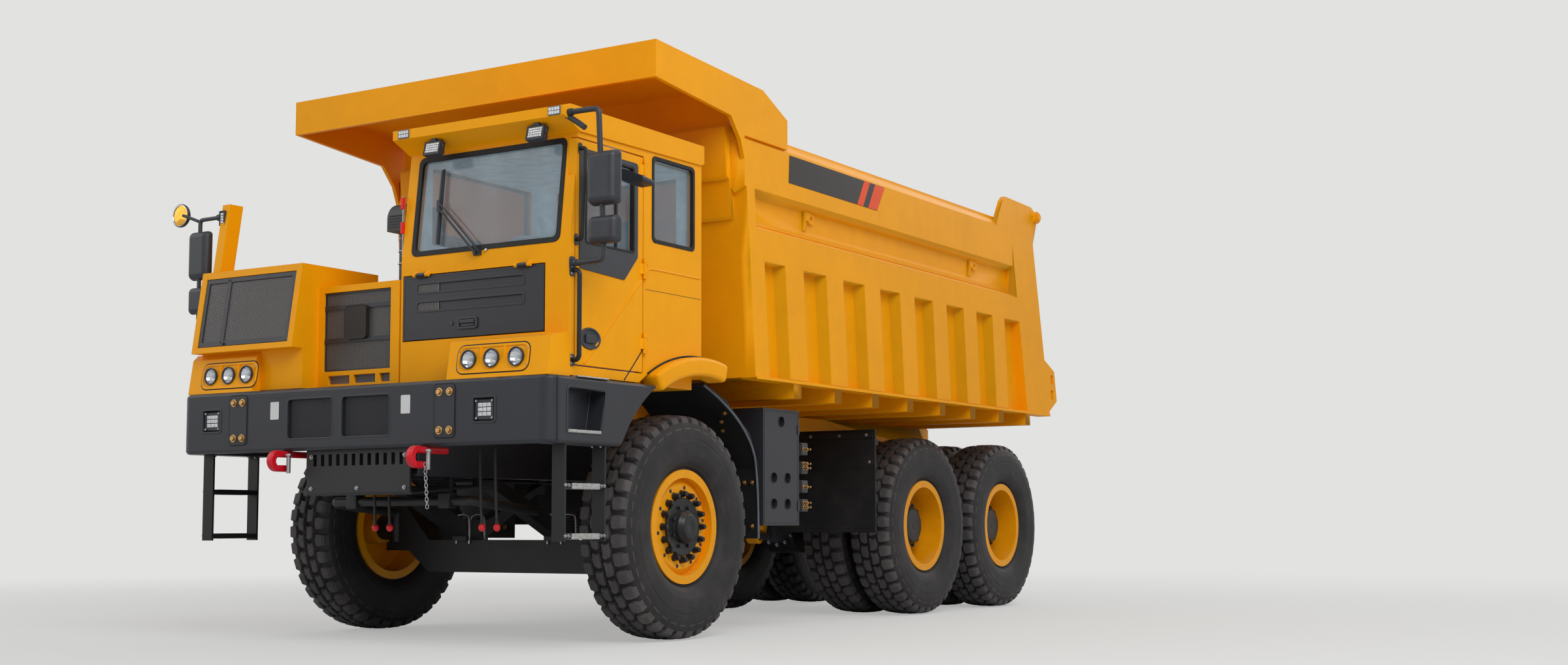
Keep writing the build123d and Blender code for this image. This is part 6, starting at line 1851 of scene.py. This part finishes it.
class TRUCK_OT_sides(Operator):
    """Cabinet, liners, mudflaps, fuel tank and fenders along the chassis"""

    bl_idname = "truck.sides"
    bl_label = "Side equipment"

    def execute(self, context):
        self.cabinet()
        self.liners()
        self.flaps()
        self.tank()
        self.valves()
        return {"FINISHED"}

    def cabinet(self):
        rims = [add_ring("rim", (1.4005, y, z), X_AXIS, 0.0385, 0.0028, 32, 8) for y,
                z in CABINET_HOLES]
        lids = [ease(add_box("hinge", (1.398, y - 0.012, z - 0.035), (1.406, y + 0.012, z + 0.035)),
                     0.002)
                for y, z in ((-0.728, 1.36), (-0.728, 0.84))]
        seam = surround(
            "seam", on_side(outline(oblong((-1.166, -0.729), (0.719, 1.476)), 0.012), 1.4002),
            on_side(outline(oblong((-1.163, -0.732), (0.722, 1.473)), 0.010), 1.4002),
            (0.0010, 0, 0))
        mount("cabinet_rims", [*rims, *lids], "charcoal_paint")
        # A near-black sheet inside the cabinet, behind its holes: painted shade.
        lining = slab("lining", (1.366, -1.112, 0.775), (1.370, -0.798, 1.462), 0.001, 1)
        mount("cabinet_seam", [seam, lining], "seam_and_shade_black")

    def liners(self):
        edge = tube("edge", [(1.374, y, z) for y, z in LINER], 0.0075, 10)
        mount("liner_edges", [both_sides(edge)], "grey_plastic", angle=60)
        slope = Vector((0, -0.20, -0.28)).normalized()
        places = [((x, y, z), slope) for x, y, z in (
            (1.315, -1.520, 1.438), (1.245, -1.450, 1.388), (1.205, -1.375, 1.334),
            (1.050, -1.450, 1.388))]
        places += [((x, -1.201, 0.990), -Y_AXIS) for x in (1.320, 1.260)]
        places += [((x, -1.201, 0.700), -Y_AXIS) for x in (1.320, 0.800)]
        places += [((-x, y, z), along) for (x, y, z), along in places]
        bolts("liner_bolts", places, 0.026, "zinc_gold")
        arc = [(1.4535, -2.040 + 1.056 * math.cos(math.radians(a)),
                0.700 + 1.056 * math.sin(math.radians(a)))
               for a in range(76, 123, 4)]
        mount("fender_beads", [both_sides(tube("bead", arc, 0.006, 8))], "black_rubber",
              angle=60)

    def flaps(self):
        """Clamp strip with its bolts, a sewn fold and a bottom hem on each rear mudflap."""
        strip = slab("strip", (0.520, 0.462, 1.355), (1.335, 0.476, 1.400), 0.003)
        folds = [slab("fold", (0.505, 0.471, z), (1.347, 0.4755, z + h), 0.0012, 1)
                 for z, h in ((1.128, 0.010), (0.655, 0.022))]
        sheet = slab("upper_sheet", (0.505, 0.4735, 1.138), (1.348, 0.4760, 1.355), 0.0010, 1)
        mount("mudflap_strips", [both_sides(joined("strip", [strip, *folds, sheet]))], "black_rubber")
        places = [((x, 0.461, 1.378), -Y_AXIS) for x in (0.58, 0.80, 1.05, 1.28)]
        places += [((x, 0.472, 1.176), -Y_AXIS) for x in (1.30,)]
        places += [((-x, y, z), along) for (x, y, z), along in places]
        bolts("mudflap_bolts", places, 0.020, "zinc")

    def tank(self):
        """Straps, filler cap, sight tube and end seams of the fuel tank."""
        def band(name, y, wide, proud):
            ring = [outline(oblong((-1.320 - by, -0.620 + by), (0.720 - by, 1.330 + by)), 0.090 + by, 6)
                    for by in (proud, -0.002)]
            put = [[(x, y, z) for x, z in points] for points in ring]
            return ease(surround(name, *put, (0, wide, 0)), 0.0015, 1)
        straps = [band("strap", y, 0.050, 0.004) for y in (-0.860, -0.335, 0.190)]
        feet = [slab("foot", (-0.66, y, 0.700), (-0.46, y + 0.05, 0.716), 0.003)
                for y in (-0.860, -0.335, 0.190)]
        mount("tank_straps", straps + feet, "chassis_black")
        seams = [band("seam", y, 0.012, 0.0025) for y in (-1.042, 0.410)]
        mount("tank_seams", seams, "charcoal_paint")
        cap = [
            ease(add_bar("neck", (-1.16, 0.03, 1.325), (-1.16, 0.03, 1.362), 0.052, 32), 0.002),
            ease(add_bar("cap", (-1.16, 0.03, 1.356), (-1.16, 0.03, 1.392), 0.063, 14, 0.058),
                0.005, 3), slab("grip", (-1.215, 0.020, 1.388), (-1.105, 0.040, 1.404), 0.004)]
        mount("tank_cap", cap, "black_plastic")
        sight = [ease(add_bar("end", (-1.331, -0.98, z), (-1.331, -0.98, z + 0.03), 0.012, 6), 0.002)
                 for z in (0.86, 1.16)]
        sight.append(add_bar("tube", (-1.331, -0.98, 0.87), (-1.331, -0.98, 1.18), 0.007, 12))
        mount("tank_sight", sight, "zinc")

    def valves(self):
        """Valve block with its fittings behind the side cabinet."""
        parts = [slab("block", (1.16, -0.705, 0.74), (1.36, -0.650, 1.42), 0.004)]
        parts += [slab("valve", (1.22, -0.650, z), (1.385, -0.570, z + 0.085), 0.006)
                  for z in (0.80, 0.93, 1.06, 1.19)]
        mount("valve_block", parts, "engine_iron")
        places = [((1.386, y, z), X_AXIS) for z in (0.83, 0.86, 0.97, 1.10, 1.13, 1.23)
                  for y in (-0.63, -0.59)]
        made = repeated("valve_fittings", joined("fitting", [
            hex_bolt(0.022, 0.014), ease(add_bar("stub", (0, 0, 0.012), (0, 0, 0.034), 0.007, 12),
                                         0.001, 1)]),
            [facing(at, along) for at, along in places])
        mount("valve_fittings", [made], "zinc_gold")


class TRUCK_OT_intake(Operator):
    """Lid, bands, collars and louvres of the air filter and its intake"""

    bl_idname = "truck.intake"
    bl_label = "Air filter"

    def execute(self, context):
        middle = Vector((-0.170, 0, 2.470))

        def at(y):
            return Vector((middle.x, y, middle.z))

        rings = [add_ring("ring", at(-2.802), Y_AXIS, r, t, 48, 8)
                 for r, t in ((0.119, 0.007), (0.082, 0.004), (0.056, 0.003))]
        disc = ease(add_bar("disc", at(-2.798), at(-2.812), 0.050, 40), 0.003, 2)
        lip = ease(add_bar("lip", at(-2.700), at(-2.728), 0.129, 48), 0.004, 2)
        clips = ringed(
            "clips", slab("clip", (-0.184, -2.760, 2.594), (-0.156, -2.690, 2.606), 0.003), 4,
            middle, "Y", math.radians(45))
        mount("filter_lid", [*rings, disc, lip, clips], "black_plastic")
        bands = [ease(add_bar("band", at(y), at(y + 0.022), 0.1275, 48), 0.002, 1)
                 for y in (-2.60, -2.38)]
        lugs = [slab("lug", (-0.185, y - 0.002, 2.590), (-0.155, y + 0.024, 2.612), 0.002)
                for y in (-2.60, -2.38)]
        mount("filter_bands", bands + lugs, "zinc")
        hood = [ease(add_ring("collar", (-0.355, -2.71, z), Z_AXIS, 0.060, 0.005, 36, 8), 0.001, 1)
                for z in (2.40, 2.48, 2.56)]
        mount("intake_collars", hood, "zinc")
        slots = [slab("louvre", (-0.405, -2.8435, z), (-0.285, -2.8385, z + 0.007), 0.001, 1)
                 for z in (2.625, 2.643, 2.661, 2.679, 2.697)]
        mount("intake_louvres", slots, "black_plastic")
        return {"FINISHED"}


# ---------------------------------------------------------------- inside the cab
def pad(name, low, high, crown, cap):
    """A stuffed seat pad: a rounded block that swells under pressure inside its own cloth."""
    made = ease(add_box(name, low, high), min(b - a for a, b in zip(low, high)) * 0.32, 4)
    middle = (Vector(low) + Vector(high)) / 2
    half = (Vector(high) - Vector(low)) / 2
    apply(made, "REMESH", mode="VOXEL", voxel_size=0.006)
    for vertex in made.data.vertices:
        share = [(c - m) / h for c, m, h in zip(vertex.co, middle, half)]
        rise = max(0.0, (1 - share[0] ** 2)) * max(0.0, 1 - abs(share[crown[0]]) ** 2.2)
        vertex.co[crown[1]] += 0.014 * rise * (1 if share[crown[1]] * crown[2] > 0 else 0) * crown[2]
    start = [vertex.co.copy() for vertex in made.data.vertices]
    choose(made)
    cloth = made.modifiers.new("Cloth", "CLOTH")
    cloth.settings.use_pressure = True
    cloth.settings.uniform_pressure_force = 4
    cloth.settings.effector_weights.gravity = 0
    scene = bpy.context.scene
    for step in range(1, 21):
        scene.frame_set(step)
    bpy.ops.object.modifier_apply(modifier=cloth.name)
    scene.frame_set(1)
    for vertex, before in zip(made.data.vertices, start):
        moved = vertex.co - before
        if moved.length > cap:
            vertex.co = before + moved * (cap / moved.length)
    apply(made, "SUBSURF", levels=1, render_levels=1)
    return made


class TRUCK_OT_interior(Operator):
    """Driver's seat, instruments and levers"""

    bl_idname = "truck.interior"
    bl_label = "Cab interior"

    def execute(self, context):
        self.seat()
        self.dash()
        return {"FINISHED"}

    def seat(self):
        cushion = pad("seat_cushion", (0.640, -2.590, 1.945), (1.080, -2.200, 2.045), (1, 2, 1), 0.012)
        back = pad("seat_back", (0.655, -2.185, 2.075), (1.065, -2.095, 2.650), (2, 1, -1), 0.012)
        for made in (cushion, back):
            coat(made, "seat_fabric")
            place(made, angle=80)
        seams = [tube("piping", [(x, -2.59 + 0.38 * i / 8, 2.062 + 0.012 * math.sin(math.pi * i / 8))
                                 for i in range(9)], 0.0035, 8) for x in (0.745, 0.975)]
        seams += [tube("piping", [(x, -2.196 - 0.012 * math.sin(math.pi * i / 8), 2.11 + 0.5 * i / 8)
                                  for i in range(9)], 0.0035, 8) for x in (0.745, 0.975)]
        mount("seat_piping", seams, "black_rubber", angle=60)
        shell = [slab("pan", (0.630, -2.600, 1.915), (1.090, -2.100, 1.945), 0.012, 3),
                 slab("shell", (0.650, -2.094, 2.000), (1.070, -2.060, 2.640), 0.014, 3),
                 slab("knuckle_a", (0.622, -2.190, 1.930), (0.650, -2.062, 2.110), 0.008),
                 slab("knuckle_b", (1.070, -2.190, 1.930), (1.098, -2.062, 2.110), 0.008),
                 slab("lower", (0.690, -2.550, 1.605), (1.030, -2.190, 1.640), 0.006),
                 slab("upper", (0.680, -2.560, 1.880), (1.040, -2.180, 1.916), 0.006)]
        folds = [slab("fold", (0.706 + 0.006 * (i % 2), -2.536 + 0.006 * (i % 2), 1.640 + 0.024 * i),
                      (1.014 - 0.006 * (i % 2), -2.204 - 0.006 * (i % 2), 1.664 + 0.024 * i), 0.010, 3)
                 for i in range(10)]
        frame_piece = mount("seat_frame", shell + folds, "black_plastic")
        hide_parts("driver_seat")

    def dash(self):
        hood = slab("hood", (0.640, -3.215, 2.292), (1.080, -3.010, 2.345), 0.018, 4)
        boot = ease(add_bar("boot", (0.860, -3.060, 2.240), (0.860, -2.930, 2.285), 0.052, 24, 0.040),
                    0.006, 3)
        stalks = [
            ease(add_bar("stalk", (0.860 + s * 0.04, -2.945, 2.285),
                    (0.860 + s * 0.175, -2.925, 2.305), 0.009, 12, 0.006), 0.002, 2)
            for s in (-1, 1)]
        mount("instrument_hood", [hood, boot, *stalks], "dash_grey")
        dials = []
        for x, r in ((0.760, 0.045), (0.860, 0.035), (0.960, 0.045)):
            dials.append(add_ring("dial", (x, -3.008, 2.318), Y_AXIS, r * 0.5, 0.003, 28, 8))
        mount("dial_rims", dials, "chrome")
        lever = [ease(add_bar("lever", (0.500, -2.700, 1.900), (0.500, -2.760, 2.200), 0.011, 14),
                      0.001, 1),
                 add_ball("knob", (0.500, -2.764, 2.215), 0.030, (1, 1, 1.2), 18),
                 slab("console", (0.400, -2.860, 1.605), (0.600, -2.250, 1.900), 0.020, 3)]
        mount("lever_console", lever, "dash_grey")
        liner = [slab("liner", (0.225, -3.195, 2.903), (1.395, -2.045, 2.922), 0.006),
                 slab("visor", (0.300, -3.190, 2.868), (1.330, -3.178, 2.905), 0.008),
                 slab("lamp", (0.700, -2.700, 2.892), (0.920, -2.560, 2.905), 0.006)]
        mount("headliner", liner, "cab_lining")


# ---------------------------------------------------------------- chassis
class TRUCK_OT_chassis(Operator):
    """Spring leaves and clips, rail bolts, axle bolts and tail lamps"""

    bl_idname = "truck.chassis"
    bl_label = "Chassis hardware"

    def execute(self, context):
        self.rails()
        self.springs()
        self.axles()
        self.rear_lamps()
        return {"FINISHED"}

    def rails(self):
        places = [
            ((0.461, y, z), X_AXIS)
            for y in (-1.25, -1.05, -0.6, -0.35, 0.62, 0.80, 1.20, 1.75, 2.70)
            for z in (1.14, 1.27)]
        places += [((-x, y, z), -along) for (x, y, z), along in places]
        bolts("rail_bolts", places, 0.026, "zinc")

    def springs(self):
        clips = []
        for y, low, high in ((-2.04, 0.640, 0.760), (2.2175, 0.840, 1.005)):
            for dy in (-0.075, 0.075):
                legs = [(0.334, y + dy, low - 0.05), (0.334, y + dy, high),
                        (0.345, y + dy, high + 0.018),
                        (0.390, y + dy, high + 0.024), (0.435, y + dy, high + 0.018),
                        (0.446, y + dy, high), (0.446, y + dy, low - 0.05)]
                clips.append(tube("clip", legs, 0.009, 10))
        gaps = []
        for y, half, z0, z1 in ((-2.04, 0.60, 0.752, 0.905), (2.2175, 0.44, 0.995, 0.925)):
            for i in range(5):
                share = 1 - i * 0.15
                points = [(0.4415, y + half * share * t / 6,
                           z0 - i * 0.020 + (z1 - z0) * (share * t / 6) ** 2 * 0.9)
                          for t in range(-6, 7)]
                gaps.append(tube("gap", points, 0.0022, 6))
        mount("spring_clips", [both_sides(joined("clips", clips))], "zinc", angle=60)
        mount("leaf_gaps", [both_sides(joined("gaps", gaps))], "seam_and_shade_black", angle=60)

    def axles(self):
        """Bolt rings round the axle housings' covers."""
        places = []
        for y in (1.475, 2.960):
            for side in (-1, 1):
                places += [((0.155 * math.cos(a), y + side * 0.205, 0.700 + 0.155 * math.sin(a)),
                            side * Y_AXIS)
                           for a in (math.tau * i / 12 for i in range(12))]
        made = repeated("axle_cover_bolts", hex_bolt(0.024, 0.012),
                        [facing(at, along) for at, along in places])
        mount("axle_cover_bolts", [made], "zinc")

    def rear_lamps(self):
        """Tail lamps on brackets at the ends of the frame rails."""
        parts = {"case": [], "red": [], "clear": []}
        for side in (-1, 1):
            x = side * 0.600
            parts["case"].append(
                slab("case", (x - 0.105, 3.385, 1.105), (x + 0.105, 3.425, 1.205), 0.008, 3))
            parts["case"].append(
                slab("arm", (min(x, side * 0.46), 3.372, 1.135),
                    (max(x, side * 0.46), 3.388, 1.175), 0.003))
            for i, kind in ((-1, "red"), (0, "red"), (1, "clear")):
                parts[kind].append(slab("lens", (x + i * 0.064 - 0.029, 3.420, 1.118),
                                        (x + i * 0.064 + 0.029, 3.430, 1.192), 0.004, 3))
        mount("tail_lamp_cases", parts["case"], "black_plastic")
        mount("tail_lamp_red", parts["red"], "red_plastic")
        mount("tail_lamp_clear", parts["clear"], "lamp_amber")


# ---------------------------------------------------------------- stage
FLOOR_RADIUS, FLOOR_RIM = 90, 60
CAMERA_AT = (7.606, -11.104, 0.716)
CAMERA_TURN = (94.69, 0.166, 31.35)
SENSOR_WIDTH, LENS, LENS_SHIFT = 36, 40.4, 0.03
VIEW_DISTANCE = 400
# name, power, size, place, what it looks at
LAMPS = (
    ("key", 1300, 9, (11, -9, 11), (0, -1, 1.5)),
    ("fill", 450, 12, (-12, -10, 9), (0, -1, 1.5)),
    ("back", 560, 10, (3, 13, 10), (0, 1, 2)),
)


class TRUCK_OT_stage(Operator):
    """Plain floor, soft studio light and the camera"""

    bl_idname = "truck.stage"
    bl_label = "Studio"

    def execute(self, context):
        scene = context.scene
        colour = tuple(settings().paint.floor_colour) + (1.0,)
        rest()
        bpy.ops.mesh.primitive_circle_add(
            vertices=96, radius=FLOOR_RADIUS, fill_type="NGON", location=(0, 0, 0))
        floor = fresh("studio_floor")
        inset(floor, None, FLOOR_RIM)
        floor.data.materials.append(floor_finish(colour))
        self.light_world(scene, colour)
        for name, power, size, at, aim in LAMPS:
            rest()
            bpy.ops.object.light_add(type="AREA", location=at)
            lamp = context.object
            lamp.name = name + "_lamp"
            lamp.rotation_euler = (Vector(aim) - Vector(at)).to_track_quat("-Z", "Y").to_euler()
            lamp.data.energy, lamp.data.size = power, size
        rest()
        bpy.ops.object.camera_add(location=CAMERA_AT, rotation=[math.radians(a) for a in CAMERA_TURN])
        camera = context.object
        camera.name = "camera"
        camera.data.sensor_width, camera.data.lens = SENSOR_WIDTH, LENS
        camera.data.shift_y = LENS_SHIFT
        camera.data.clip_end = VIEW_DISTANCE
        scene.camera = camera
        scene.view_settings.view_transform = "Standard"
        return {"FINISHED"}

    def light_world(self, scene, colour):
        """Even light on the truck, and the floor's pale tone behind it and in its gloss."""
        world = bpy.data.worlds.new("studio_world")
        scene.world = world
        world.use_nodes = True
        tree = world.node_tree
        tree.nodes.clear()
        rays = tree.nodes.new("ShaderNodeLightPath")
        soft = tree.nodes.new("ShaderNodeBackground")
        soft.inputs["Color"].default_value = linear(236, 240, 246)
        soft.inputs["Strength"].default_value = 0.42
        seen = tree.nodes.new("ShaderNodeBackground")
        seen.inputs["Color"].default_value = colour
        seen.inputs["Strength"].default_value = 1.0
        either = rays.outputs["Is Camera Ray"]
        for name in ("Is Glossy Ray", "Is Transmission Ray"):
            most = tree.nodes.new("ShaderNodeMath")
            most.operation = "MAXIMUM"
            tree.links.new(either, most.inputs[0])
            tree.links.new(rays.outputs[name], most.inputs[1])
            either = most.outputs[0]
        choice = tree.nodes.new("ShaderNodeMixShader")
        output = tree.nodes.new("ShaderNodeOutputWorld")
        tree.links.new(either, choice.inputs[0])
        tree.links.new(soft.outputs[0], choice.inputs[1])
        tree.links.new(seen.outputs[0], choice.inputs[2])
        tree.links.new(choice.outputs[0], output.inputs[0])


# ---------------------------------------------------------------- add-on
OPERATORS = (
    TRUCK_OT_frame,
    TRUCK_OT_tyres,
    TRUCK_OT_wheels,
    TRUCK_OT_bumper,
    TRUCK_OT_hooks,
    TRUCK_OT_ladders,
    TRUCK_OT_cab,
    TRUCK_OT_front,
    TRUCK_OT_mirrors,
    TRUCK_OT_bed,
    TRUCK_OT_sides,
    TRUCK_OT_intake,
    TRUCK_OT_interior,
    TRUCK_OT_chassis,
    TRUCK_OT_stage,
)


class TRUCK_PT_panel(Panel):
    """Lists the truck's parts and its sizes"""

    bl_idname = "TRUCK_PT_panel"
    bl_label = "Dump truck"
    bl_space_type = "VIEW_3D"
    bl_region_type = "UI"
    bl_category = "Dump truck"

    def draw(self, context):
        sizes = context.scene.mining_truck
        for group in (sizes.paint, sizes.tyres, sizes.body):
            box = self.layout.box()
            for name in group.__annotations__:
                box.prop(group, name)
        for operator in OPERATORS:
            self.layout.operator(operator.bl_idname)


CLASSES = (PaintSettings, TyreSettings, BodySettings, TruckSettings, *OPERATORS, TRUCK_PT_panel)


def register():
    for one in CLASSES:
        bpy.utils.register_class(one)
    bpy.types.Scene.mining_truck = PointerProperty(type=TruckSettings)


def unregister():
    del bpy.types.Scene.mining_truck
    for one in reversed(CLASSES):
        bpy.utils.unregister_class(one)


def main():
    register()
    random.seed(RANDOM_SEED)
    mix_finishes(settings().paint)
    for operator in OPERATORS:
        group, name = operator.bl_idname.split(".")
        getattr(getattr(bpy.ops, group), name)()
    rest()


if __name__ == "__main__":
    main()
